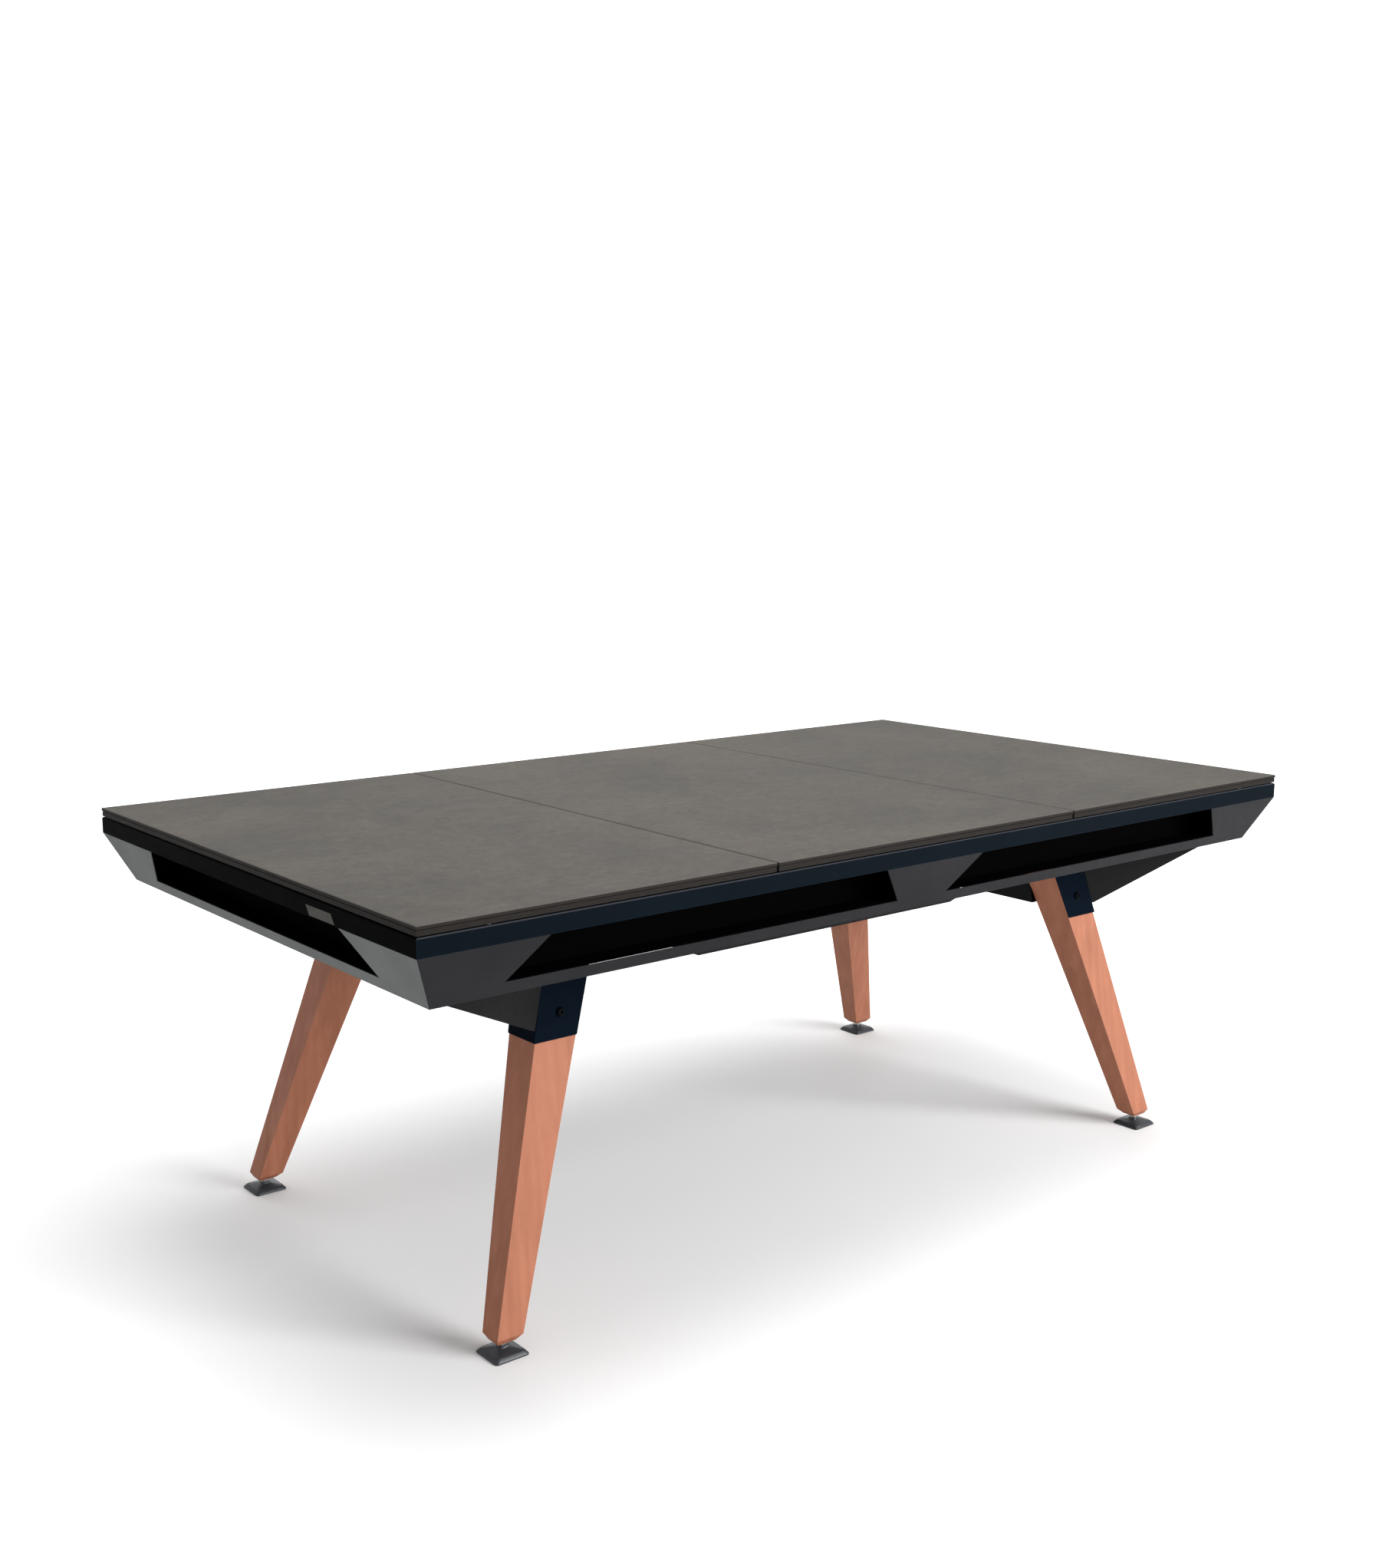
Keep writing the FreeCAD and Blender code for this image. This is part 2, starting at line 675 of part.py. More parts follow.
def console_wings():
    """The sloping plate under the table's end, with its two upright side plates."""
    _, x1, x2 = CONSOLE_X
    y1, y2 = CONSOLE_Y
    z0, z1, z2 = CONSOLE_BOTTOM, APRON_BOTTOM, CHASSIS_BOTTOM
    t = SHEET_T
    lean = (y2 - y1) / (x2 - x1)
    x_in = leg_rect(z2, SHEET_T)[1] + CONSOLE_BRACKET_GAP
    y_in = y1 - lean * (x1 - x_in)
    foot_x = leg_rect(z0, SHEET_T)[1] + CONSOLE_BRACKET_GAP
    section = [(foot_x, z0), (x1, z0), (x2, z1), (x2, z2), (x_in, z2)]
    outer = prism([(x, -HALF_W, z) for x, z in section], (0, WIDTH, 0))
    plan = plan_prism([(x_in, -y_in), (x2, -y2), (x2, y2), (x_in, y_in)], CUT_LOW, CUT_HIGH)
    outer = outer.common(plan)
    past = z2 + OVER
    inner_section = [(0, z0 + t), (x1 - OVER, z0 + t), (x2 - t, z1 + t), (x2 - t, past), (0, past)]
    hollow = prism([(x, -HALF_W, z) for x, z in inner_section], (0, WIDTH, 0))
    ya, yb = y_in - t - lean * x_in, y2 - t + lean * (HALF_L - x2)
    inner_plan = plan_prism([(0, -ya), (HALF_L, -yb), (HALF_L, yb), (0, ya)], CUT_LOW, CUT_HIGH)
    return outer.cut(hollow.common(inner_plan))


def console():
    """The right leg console: beam and wings welded together."""
    return fused([console_beam(), console_wings()])


# Levelling feet

def threaded_insert():
    """The brass bush in the foot of a leg."""
    bush = cylinder(FOOT_X, FOOT_Y, INSERT_R, LEG_BOTTOM, INSERT_TOP)
    return bush.cut(cylinder(FOOT_X, FOOT_Y, STUD_R + STUD_FIT, 0, INSERT_TOP + OVER))


def level_stud():
    """The threaded rod with its lock nut."""
    rod = cylinder(FOOT_X, FOOT_Y, STUD_R, STUD_BOTTOM, STUD_TOP)
    radius = NUT_ACROSS / math.sqrt(3)
    points = []
    for k in range(6):
        a = math.radians(60 * k)
        points.append((FOOT_X + radius * math.cos(a), FOOT_Y + radius * math.sin(a)))
    return rod.fuse(plan_prism(points, *NUT_Z)).removeSplitter()


def square_about_foot(side):
    """A square centred on the foot, as (x0, x1, y0, y1)."""
    h = side / 2
    return FOOT_X - h, FOOT_X + h, FOOT_Y - h, FOOT_Y + h


def level_pad():
    """The square foot pad: upright rim, sloping shoulder, low crown and a hub for the stud."""
    outline = square_about_foot(PAD_SIDE)
    shoulder, shoulder_z = PAD_SHOULDER
    crown, crown_z = PAD_CROWN
    rim = box(*outline, 0, PAD_RIM_H)
    slope = rect_loft(outline, PAD_RIM_H, square_about_foot(shoulder), shoulder_z)
    top = rect_loft(square_about_foot(shoulder), shoulder_z, square_about_foot(crown), crown_z)
    hub = cylinder(FOOT_X, FOOT_Y, PAD_HUB_R, shoulder_z, PAD_HUB_TOP)
    rounded = box(*outline, 0, PAD_HUB_TOP)
    upright = [e for e in rounded.Edges if abs(e.tangentAt(e.FirstParameter).z) > 0.9]
    pad = fused([rim, slope, top, hub]).common(rounded.makeFillet(PAD_CORNER_R, upright))
    return pad.cut(cylinder(FOOT_X, FOOT_Y, STUD_R + STUD_FIT, STUD_BOTTOM - STUD_END_GAP, HEIGHT))


def belly_pan():
    """The folded pan under the middle of the chassis."""
    l, w, b = PAN_HALF_L, PAN_HALF_W, PAN_BEVEL
    z0, z1, z2 = PAN_BOTTOM, PAN_BOTTOM + PAN_BEVEL, CHASSIS_BOTTOM
    t = APRON_T
    shell = rect_loft((b - l, l - b, b - w, w - b), z0, (-l, l, -w, w), z1)
    shell = shell.fuse(box(-l, l, -w, w, z1, z2)).removeSplitter()
    flange = box(-l, l, -PAN_FLANGE_Y, PAN_FLANGE_Y, z2 - t, z2)
    core = rect_loft((b - l + t, l - b - t, b - w + t, w - b - t), z0 + t, (t - l, l - t, t - w, w - t), z1)
    core = core.fuse(box(t - l, l - t, t - w, w - t, z1, z2 + OVER))
    return shell.fuse(flange).removeSplitter().cut(core)


# Build

def build_covers():
    """The three lift-off covers."""
    for index, name in enumerate(("left", "middle", "right")):
        save("cover_plate_" + name, cover_plate(index))
        save("cover_board_" + name, cover_board(index))
        save("cover_pads_" + name, cover_pads(index))


def build_top():
    """Bed, rails and cushions."""
    save("bed_slate", bed_layer(SLATE_BOTTOM, SLATE_TOP))
    save("bed_cloth", bed_layer(SLATE_TOP, CLOTH_TOP))
    rail = long_rail()
    save("rail_back", rail)
    save("rail_front", mirrored(rail, 1, -1))
    rail = short_rail()
    save("rail_right", rail)
    save("rail_left", mirrored(rail, -1, 1).cut(prism(badge_outline(BADGE_GAP), (BADGE_T, 0, 0))))
    save("badge_plate", badge_plate())
    save("cushion_strips", cushion_strips())
    cushion = long_cushion()
    for name, sx, sy in CORNERS:
        save("cushion_" + name, mirrored(cushion, sx, sy))
    cushion = short_cushion()
    save("cushion_right", cushion)
    save("cushion_left", mirrored(cushion, -1, 1))


def build_aprons():
    """Aprons, and the pocket cups and trays behind them."""
    apron = long_apron()
    save("apron_back", apron)
    save("apron_front", mirrored(apron, 1, -1))
    apron = short_apron()
    save("apron_right", apron)
    save("apron_left", mirrored(apron, -1, 1))
    tray = return_tray()
    corner = corner_cup()
    for name, sx, sy in CORNERS:
        save("return_tray_" + name, mirrored(tray, sx, sy))
        save("corner_cup_" + name, mirrored(corner, sx, sy))
    middle = side_cup()
    save("side_cups", [middle, mirrored(middle, 1, -1)])
    tray = end_tray()
    save("end_trays", [tray, mirrored(tray, -1, 1)])


def build_chassis():
    """The steel frame, the pan and the leg consoles."""
    save("chassis_frame", chassis_frame())
    save("outriggers", outriggers())
    save("belly_pan", belly_pan())
    frame = console()
    save("console_right", frame)
    save("console_left", mirrored(frame, -1, 1))


def build_legs():
    """Legs with their brackets, bolts and levelling feet."""
    wood = leg()
    bracket = leg_bracket()
    stud = level_stud()
    pad = level_pad()
    bolts = []
    inserts = []
    for name, sx, sy in CORNERS:
        save("leg_" + name, mirrored(wood, sx, sy))
        save("leg_bracket_" + name, mirrored(bracket, sx, sy))
        save("level_stud_" + name, mirrored(stud, sx, sy))
        save("level_pad_" + name, mirrored(pad, sx, sy))
        bolts += [mirrored(leg_bolt(z), sx, sy) for z in BOLT_HEIGHTS]
        inserts.append(mirrored(threaded_insert(), sx, sy))
    save("leg_bolts", bolts)
    save("leg_inserts", inserts)


os.makedirs("parts", exist_ok=True)
build_covers()
build_top()
build_aprons()
build_chassis()
build_legs()
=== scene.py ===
"""Pool table with lift-off covers: finishes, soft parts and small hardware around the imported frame."""

import math

import bmesh
import bpy
from bpy.props import FloatProperty, FloatVectorProperty, PointerProperty
from mathutils import Matrix, Vector


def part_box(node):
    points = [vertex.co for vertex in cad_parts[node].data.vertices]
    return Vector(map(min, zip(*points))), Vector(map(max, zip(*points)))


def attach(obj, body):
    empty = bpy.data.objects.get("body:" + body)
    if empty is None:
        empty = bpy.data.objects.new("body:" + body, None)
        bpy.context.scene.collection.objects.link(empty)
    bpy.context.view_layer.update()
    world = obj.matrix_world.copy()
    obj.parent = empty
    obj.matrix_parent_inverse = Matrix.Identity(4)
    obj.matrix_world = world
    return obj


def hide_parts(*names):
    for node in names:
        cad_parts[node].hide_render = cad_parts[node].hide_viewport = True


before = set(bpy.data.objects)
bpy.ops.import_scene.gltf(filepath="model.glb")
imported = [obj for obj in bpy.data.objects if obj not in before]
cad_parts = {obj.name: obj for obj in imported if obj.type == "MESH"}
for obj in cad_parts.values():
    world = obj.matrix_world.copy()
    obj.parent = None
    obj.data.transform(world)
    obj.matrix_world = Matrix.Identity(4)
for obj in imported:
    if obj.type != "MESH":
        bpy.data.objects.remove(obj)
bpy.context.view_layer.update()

bl_info = {
    "name": "Pool Table",
    "version": (1, 0, 0),
    "blender": (4, 5, 0),
    "location": "View3D > Sidebar > Pool Table",
    "description": "Dresses the pool table: finishes, cloth, cushions, feet, hardware and studio",
    "category": "Object",
}

CUP_REACH = 0.056
CORNER_LINER_R = 0.0519
SIDE_LINER_R = 0.0499
CORNER_CUT_R = 0.057
SIDE_CUT_R = 0.055
CORNER_NOTCH = (0.111, 0.030)
CORNER_FACING = 0.0570
SIDE_FACING = 0.0120
CORNERS = (("front_left", -1, -1), ("front_right", 1, -1), ("back_left", -1, 1), ("back_right", 1, 1))
COVERS = ("left", "middle", "right")


# Sizes and colours that a user would change

def length_property(name, description, default):
    """A size in metres."""
    return FloatProperty(name=name, description=description, default=default,
                         unit="LENGTH", precision=5)


def colour_property(name, description, default):
    """A scene-linear colour."""
    return FloatVectorProperty(name=name, description=description, default=default, subtype="COLOR",
                               size=3, min=0.0, max=1.0)


class PoolTableSizes(bpy.types.PropertyGroup):
    """Small sizes that the frame leaves open."""

    metal_edge: length_property("Metal edge", "Radius of folded and sawn metal edges", 0.0009)
    wood_edge: length_property("Wood edge", "Radius of the legs' long edges", 0.0028)
    apron_edge: length_property("Apron edge", "Radius of the aprons' cut edges", 0.0005)
    plate_edge: length_property("Plate edge", "Radius of a ceramic arris and of bolt edges", 0.0004)
    thread_pitch: length_property("Thread pitch", "Pitch of the levelling studs", 0.0015)
    thread_depth: length_property("Thread depth", "Depth of the levelling studs' thread", 0.0008)
    pad_rim: length_property("Pad rim", "Height of the upright rim of a foot pad", 0.0022)
    cloth_skirt: length_property("Cloth skirt", "How far the bed cloth turns down round the slate", 0.006)
    cloth_thickness: length_property("Cloth thickness", "Thickness of the bed cloth", 0.0007)
    sight_radius: length_property("Sight radius", "Radius of the round sights in the rails", 0.005)
    spot_radius: length_property("Spot radius", "Radius of the ball spots on the cloth", 0.009)


class PoolTableColours(bpy.types.PropertyGroup):
    """Colours of the finishes."""

    ceramic: colour_property("Ceramic", "Cover plates", (0.0580, 0.0545, 0.0495))
    # Ceramic arris colour: a painted highlight on the plates' chamfered top edge.
    ceramic_arris_highlight: colour_property("Ceramic arris", "Painted highlight on the plates' arris", (0.078, 0.072, 0.065))
    # Ceramic side colour: painted shade on the plates' upright faces.
    ceramic_side_shade: colour_property("Ceramic side", "Painted shade on the plates' upright sides", (0.0110, 0.0088, 0.0072))
    board: colour_property("Board", "Boards under the plates", (0.0105, 0.0084, 0.0072))
    bumper: colour_property("Bumper", "Rubber bumpers under the covers", (0.22, 0.22, 0.21))
    rail: colour_property("Long rails", "Paint of the long rails", (0.0017, 0.0042, 0.0072))
    # Rail arris colour: a painted highlight on the long rails' chamfered top edge.
    rail_arris_highlight: colour_property("Rail arris", "Painted highlight on the rails' top edge", (0.042, 0.043, 0.049))
    # End rails: the same paint as the long rails, made darker as painted shade.
    end_rail_shade: colour_property("End rails", "The rail paint darkened on the short rails as painted shade", (0.0007, 0.0008, 0.0010))
    badge: colour_property("Badge", "Blank metal badge plate", (0.048, 0.046, 0.040))
    sight: colour_property("Sight", "Round inlays in the rails", (0.75, 0.75, 0.72))
    # Long and end aprons are one paint: the long aprons get a darker copy as painted shade, the end aprons
    # a lighter copy as painted light.
    apron: colour_property("Long aprons", "The apron paint darkened on the long aprons as painted shade", (0.0170, 0.0172, 0.0190))
    end_apron_lit: colour_property("End aprons", "The apron paint lightened on the short aprons as painted light", (0.128, 0.136, 0.134))
    bracket: colour_property("Bracket", "Paint of the leg brackets", (0.0016, 0.0044, 0.0092))
    console: colour_property("Console", "Powder coat of the leg consoles", (0.0070, 0.0072, 0.0074))
    chassis: colour_property("Chassis", "Powder coat of the hidden steel", (0.004, 0.004, 0.005))
    plastic: colour_property("Plastic", "Moulded trays and cups", (0.0007, 0.0007, 0.0009))
    wood: colour_property("Wood", "Legs", (0.345, 0.130, 0.073))
    wood_dark: colour_property("Wood, dark grain", "Late wood and pores", (0.235, 0.082, 0.043))
    bolt: colour_property("Bolt", "Black oxide of the leg bolts", (0.0030, 0.0038, 0.0052))
    brass: colour_property("Brass", "Threaded inserts in the legs", (0.70, 0.50, 0.22))
    zinc: colour_property("Zinc", "Levelling studs and their collars", (0.66, 0.66, 0.67))
    pad: colour_property("Pad", "Foot pads", (0.024, 0.027, 0.033))
    cloth: colour_property("Cloth", "Bed and cushion cloth", (0.060, 0.120, 0.170))
    slate: colour_property("Slate", "Bed slate", (0.10, 0.11, 0.12))
    floor: colour_property("Floor", "Studio floor and backdrop", (0.86, 0.86, 0.86))


def sizes():
    """The scene's size settings."""
    return bpy.context.scene.pool_table_sizes


def colours():
    """The scene's colour settings."""
    return bpy.context.scene.pool_table_colours


# Materials

class Finish:
    """A material with short calls for the nodes that the finishes share."""

    def __init__(self, name, **sockets):
        self.material = bpy.data.materials.new(name)
        self.material.use_nodes = True
        self.tree = self.material.node_tree
        self.shader = self.tree.nodes["Principled BSDF"]
        self.place = self.node("ShaderNodeTexCoord").outputs["Object"]
        for socket, value in sockets.items():
            self.shader.inputs[socket.replace("_", " ")].default_value = value

    def node(self, kind, **settings):
        """A new node with some of its settings."""
        made = self.tree.nodes.new(kind)
        for key, value in settings.items():
            setattr(made, key, value)
        return made

    def feed(self, socket, value):
        """Links a socket's output into an input, or sets a plain value on it."""
        if isinstance(value, bpy.types.NodeSocket):
            self.tree.links.new(value, socket)
        else:
            socket.default_value = value

    def stretched(self, scale, turn=(0.0, 0.0, 0.0)):
        """Object coordinates, turned and scaled, for grain that runs one way."""
        mapping = self.node("ShaderNodeMapping")
        self.feed(mapping.inputs["Vector"], self.place)
        mapping.inputs["Rotation"].default_value = turn
        mapping.inputs["Scale"].default_value = scale
        return mapping.outputs["Vector"]

    def noise(self, scale, detail=4.0, roughness=0.55, distortion=0.0, vector=None):
        """A noise pattern between 0 and 1."""
        made = self.node("ShaderNodeTexNoise")
        self.feed(made.inputs["Vector"], vector or self.place)
        made.inputs["Scale"].default_value = scale
        made.inputs["Detail"].default_value = detail
        made.inputs["Roughness"].default_value = roughness
        made.inputs["Distortion"].default_value = distortion
        return made.outputs["Fac"]

    def voronoi(self, scale):
        """The distance to the middle of the nearest cell."""
        made = self.node("ShaderNodeTexVoronoi", feature="F1")
        self.feed(made.inputs["Vector"], self.place)
        made.inputs["Scale"].default_value = scale
        return made.outputs["Distance"]

    def wave(self, scale, distortion, vector, direction="X"):
        """Parallel bands between 0 and 1."""
        made = self.node("ShaderNodeTexWave", bands_direction=direction)
        self.feed(made.inputs["Vector"], vector)
        made.inputs["Scale"].default_value = scale
        made.inputs["Distortion"].default_value = distortion
        made.inputs["Detail"].default_value = 2.0
        return made.outputs["Fac"]

    def range(self, value, low, high, to_low=0.0, to_high=1.0):
        """A value spread from one range over another, and clamped."""
        made = self.node("ShaderNodeMapRange")
        self.feed(made.inputs["Value"], value)
        for key, number in zip(("From Min", "From Max", "To Min", "To Max"), (low, high, to_low, to_high)):
            made.inputs[key].default_value = number
        return made.outputs["Result"]

    def maths(self, operation, a, b):
        """One arithmetic step on two values."""
        made = self.node("ShaderNodeMath", operation=operation)
        self.feed(made.inputs[0], a)
        self.feed(made.inputs[1], b)
        return made.outputs["Value"]

    def mix(self, share, a, b):
        """Colour a turning into colour b as the share goes from 0 to 1."""
        made = self.node("ShaderNodeMix", data_type="RGBA", blend_type="MIX")
        self.feed(made.inputs["Factor"], share)
        for name, colour in (("A", a), ("B", b)):
            pick = [s for s in made.inputs if s.name == name and s.type == "RGBA"][0]
            self.feed(pick, colour)
        return [s for s in made.outputs if s.type == "RGBA"][0]

    def edges(self, radius, gain=4.0):
        """1 on sharp edges, fading to 0 away from them."""
        bevel = self.node("ShaderNodeBevel", samples=4)
        bevel.inputs["Radius"].default_value = radius
        normal = self.node("ShaderNodeNewGeometry").outputs["Normal"]
        dot = self.node("ShaderNodeVectorMath", operation="DOT_PRODUCT")
        self.feed(dot.inputs[0], bevel.outputs["Normal"])
        self.feed(dot.inputs[1], normal)
        away = self.maths("SUBTRACT", 1.0, dot.outputs["Value"])
        return self.range(away, 0.0, 1.0 / gain)

    def lean(self):
        """1 on level faces that look up, 0 on upright ones."""
        split = self.node("ShaderNodeSeparateXYZ")
        self.feed(split.inputs["Vector"], self.node("ShaderNodeNewGeometry").outputs["True Normal"])
        return split.outputs["Z"]

    def slanted(self):
        """1 on faces that lean back at about 45 degrees, 0 on level and upright ones."""
        lean = self.lean()
        return self.maths("MULTIPLY", self.range(lean, 0.45, 0.60), self.range(lean, 0.80, 0.95, 1.0, 0.0))

    def colour(self, value):
        """Sets the base colour."""
        self.feed(self.shader.inputs["Base Color"], value)

    def roughness(self, value):
        """Sets the roughness."""
        self.feed(self.shader.inputs["Roughness"], value)

    def bump(self, *layers):
        """Stacks (height, strength, distance) layers of relief."""
        normal = None
        for height, strength, distance in layers:
            made = self.node("ShaderNodeBump")
            made.inputs["Strength"].default_value = strength
            made.inputs["Distance"].default_value = distance
            self.feed(made.inputs["Height"], height)
            if normal is not None:
                self.feed(made.inputs["Normal"], normal)
            normal = made.outputs["Normal"]
        self.feed(self.shader.inputs["Normal"], normal)


def rgb(colour, gain=1.0):
    """A colour socket value, lightened or darkened."""
    return (*[min(1.0, c * gain) for c in colour], 1.0)


def ceramic_finish():
    """Stone-grey ceramic: soft clouds, paler rubbed patches, hairline scuffs, a painted highlight on the
    arris and painted shade on the upright sides.
    """
    base, side, arris = colours().ceramic, colours().ceramic_side_shade, colours().ceramic_arris_highlight
    f = Finish("ceramic plate", Specular_IOR_Level=0.14)
    brown = (base[0] * 1.12, base[1] * 1.0, base[2] * 0.88)
    clouds = f.noise(2.2, 7.0, 0.66, 0.4)
    patches = f.noise(7.0, 9.0, 0.76, 0.8, f.stretched((1.0, 1.5, 1.0), (0, 0, 0.6)))
    mottle = f.noise(34.0, 8.0, 0.72, 1.2)
    scuffs = f.noise(17.0, 6.0, 0.78, 2.2, f.stretched((1.0, 2.6, 1.0), (0, 0, -0.5)))
    grains = f.noise(420.0, 2.0, 0.5)
    tone = f.mix(f.range(clouds, 0.32, 0.68), rgb(base, 0.74), rgb(brown, 1.22))
    tone = f.mix(f.range(patches, 0.46, 0.72, 0.0, 0.6), tone, rgb(brown, 1.7))
    tone = f.mix(f.range(mottle, 0.40, 0.64, 0.0, 0.5), tone, rgb(base, 0.52))
    tone = f.mix(f.range(scuffs, 0.57, 0.70, 0.0, 0.45), tone, rgb(base, 2.2))
    tone = f.mix(f.range(grains, 0.35, 0.65, 0.0, 0.25), tone, rgb(base, 0.6))
    # Slanted arris faces take a lighter colour: a painted highlight.
    tone = f.mix(f.slanted(), tone, rgb(arris))
    # Upright and downward faces take the dark side colour: painted shade.
    f.colour(f.mix(f.range(f.lean(), 0.35, 0.60, 1.0, 0.0), tone, rgb(side)))
    f.roughness(f.range(patches, 0.3, 0.75, 0.60, 0.74))
    f.bump((grains, 0.10, 0.0004), (patches, 0.05, 0.002))
    return f.material


def board_finish():
    """Dark board with a fine sawn edge."""
    base = colours().board
    f = Finish("cover board", Specular_IOR_Level=0.1)
    lines = f.noise(60.0, 5.0, 0.6, 0.0, f.stretched((1.0, 1.0, 14.0)))
    specks = f.noise(900.0, 2.0)
    tone = f.mix(f.range(lines, 0.35, 0.65), rgb(base, 0.75), rgb(base, 1.3))
    f.colour(f.mix(f.edges(0.0012), tone, rgb(base, 1.5)))
    f.roughness(f.range(specks, 0.3, 0.7, 0.5, 0.7))
    f.bump((specks, 0.15, 0.0002), (lines, 0.1, 0.0003))
    return f.material


def powder_coat(name, base, shine=0.42, edge_wear_and_highlight=2.2, gloss=0.05, arris=None):
    """Fine-texture powder coat: orange peel, faint clouding, edges lightened partly as wear and partly as
    a painted highlight, and an optional painted highlight on the slanted arris.
    """
    f = Finish(name, Specular_IOR_Level=gloss)
    peel = f.noise(650.0, 2.0, 0.5)
    clouds = f.noise(7.0, 4.0, 0.6)
    dust = f.noise(55.0, 6.0, 0.65)
    tone = f.mix(f.range(clouds, 0.3, 0.7), rgb(base, 0.9), rgb(base, 1.12))
    tone = f.mix(f.range(dust, 0.58, 0.78, 0.0, 0.25), tone, rgb(base, 1.35))
    # Edges lightened by the gain: partly wear, partly a painted highlight.
    tone = f.mix(f.edges(0.0013), tone, rgb(base, edge_wear_and_highlight))
    # The optional arris colour on slanted faces is a painted highlight.
    f.colour(f.mix(f.slanted(), tone, rgb(arris)) if arris else tone)
    f.roughness(f.range(dust, 0.3, 0.75, shine, shine + 0.12))
    f.bump((peel, 0.22, 0.00025))
    return f.material


def wood_finish():
    """Oiled hardwood: long straight figure, fine pores and paler edges, a painted highlight."""
    base, dark = colours().wood, colours().wood_dark
    f = Finish("leg wood", Specular_IOR_Level=0.22)
    along = f.stretched((1.0, 1.0, 0.045))
    figure = f.noise(38.0, 6.0, 0.6, 0.35, along)
    bands = f.wave(16.0, 5.0, f.stretched((1.0, 1.0, 0.09), (0.10, 0.06, 0.5)))
    pores = f.noise(520.0, 3.0, 0.6, 0.0, f.stretched((1.0, 1.0, 0.03)))
    tone = f.mix(f.range(figure, 0.34, 0.68), rgb(base, 1.06), rgb(base, 0.80))
    tone = f.mix(f.range(bands, 0.35, 1.0, 0.0, 0.30), tone, rgb(dark, 1.15))
    tone = f.mix(f.range(pores, 0.60, 0.74, 0.0, 0.45), tone, rgb(dark, 0.75))
    blotch = f.noise(6.0, 3.0, 0.5)
    tone = f.mix(f.range(blotch, 0.35, 0.65, 0.0, 0.35), tone, rgb(base, 1.16))
    # Paler edges: a painted highlight.
    f.colour(f.mix(f.edges(0.0022, 6.0), tone, rgb(base, 1.25)))
    f.roughness(f.range(figure, 0.3, 0.7, 0.46, 0.60))
    f.bump((pores, 0.28, 0.0003), (figure, 0.12, 0.0004))
    return f.material


def plastic_finish(name, base, shine=0.6, gloss=0.01):
    """Moulded plastic with a spark-eroded grain and paler edges, a painted highlight."""
    f = Finish(name, Specular_IOR_Level=gloss)
    grain = f.voronoi(1400.0)
    flow = f.noise(22.0, 4.0, 0.6)
    tone = f.mix(f.range(flow, 0.3, 0.7), rgb(base, 0.85), rgb(base, 1.2))
    # Edges lightened: a painted highlight.
    f.colour(f.mix(f.edges(0.0014), tone, rgb(base, 1.9)))
    f.roughness(f.range(flow, 0.3, 0.7, shine, shine + 0.12))
    f.bump((grain, 0.25, 0.0002))
    return f.material


def rubber_finish():
    """Pale rubber with a dusty skin."""
    base = colours().bumper
    f = Finish("bumper rubber", Specular_IOR_Level=0.3)
    dust = f.noise(300.0, 5.0, 0.7)
    f.colour(f.mix(f.range(dust, 0.3, 0.7), rgb(base, 0.8), rgb(base, 1.15)))
    f.roughness(f.range(dust, 0.3, 0.7, 0.6, 0.8))
    f.bump((dust, 0.2, 0.0003))
    return f.material


def cloth_finish():
    """Worsted billiard cloth: a fine twill with a short nap."""
    base = colours().cloth
    f = Finish("billiard cloth", Specular_IOR_Level=0.15, Sheen_Weight=0.35, Sheen_Roughness=0.45)
    warp = f.wave(420.0, 0.6, f.stretched((1.0, 1.0, 1.0), (0, 0, 0.785)))
    weft = f.wave(420.0, 0.6, f.stretched((1.0, 1.0, 1.0), (0, 0, -0.785)), "Y")
    nap = f.noise(1100.0, 3.0, 0.7, 0.0, f.stretched((1.0, 3.0, 1.0)))
    patches = f.noise(5.0, 4.0, 0.6)
    weave = f.maths("MULTIPLY", warp, weft)
    tone = f.mix(f.range(weave, 0.0, 0.8), rgb(base, 0.78), rgb(base, 1.12))
    tone = f.mix(f.range(nap, 0.45, 0.75, 0.0, 0.5), tone, rgb(base, 1.5))
    f.colour(f.mix(f.range(patches, 0.3, 0.7, 0.0, 0.25), tone, rgb(base, 0.8)))
    f.roughness(f.range(nap, 0.3, 0.7, 0.80, 0.95))
    f.bump((weave, 0.35, 0.0002), (nap, 0.25, 0.0002))
    return f.material


def slate_finish():
    """Honed slate with cleft lines."""
    base = colours().slate
    f = Finish("slate", Specular_IOR_Level=0.3)
    layers = f.noise(14.0, 7.0, 0.65, 0.8, f.stretched((1.0, 1.0, 9.0)))
    specks = f.noise(380.0, 3.0)
    tone = f.mix(f.range(layers, 0.3, 0.7), rgb(base, 0.75), rgb(base, 1.25))
    f.colour(f.mix(f.range(specks, 0.55, 0.7, 0.0, 0.5), tone, rgb(base, 1.6)))
    f.roughness(f.range(layers, 0.3, 0.7, 0.55, 0.75))
    f.bump((layers, 0.25, 0.0008), (specks, 0.2, 0.0002))
    return f.material


def metal_finish(name, base, shine, stretch, metallic=1.0):
    """Bare metal with fine tool marks along one way."""
    f = Finish(name, Metallic=metallic)
    marks = f.noise(240.0, 4.0, 0.6, 0.0, f.stretched(stretch))
    stain = f.noise(40.0, 4.0, 0.6)
    tone = f.mix(f.range(stain, 0.3, 0.7), rgb(base, 0.82), rgb(base, 1.1))
    f.colour(f.mix(f.edges(0.0006), tone, rgb(base, 1.35)))
    f.roughness(f.range(marks, 0.3, 0.7, shine, shine + 0.15))
    f.bump((marks, 0.18, 0.0002))
    return f.material


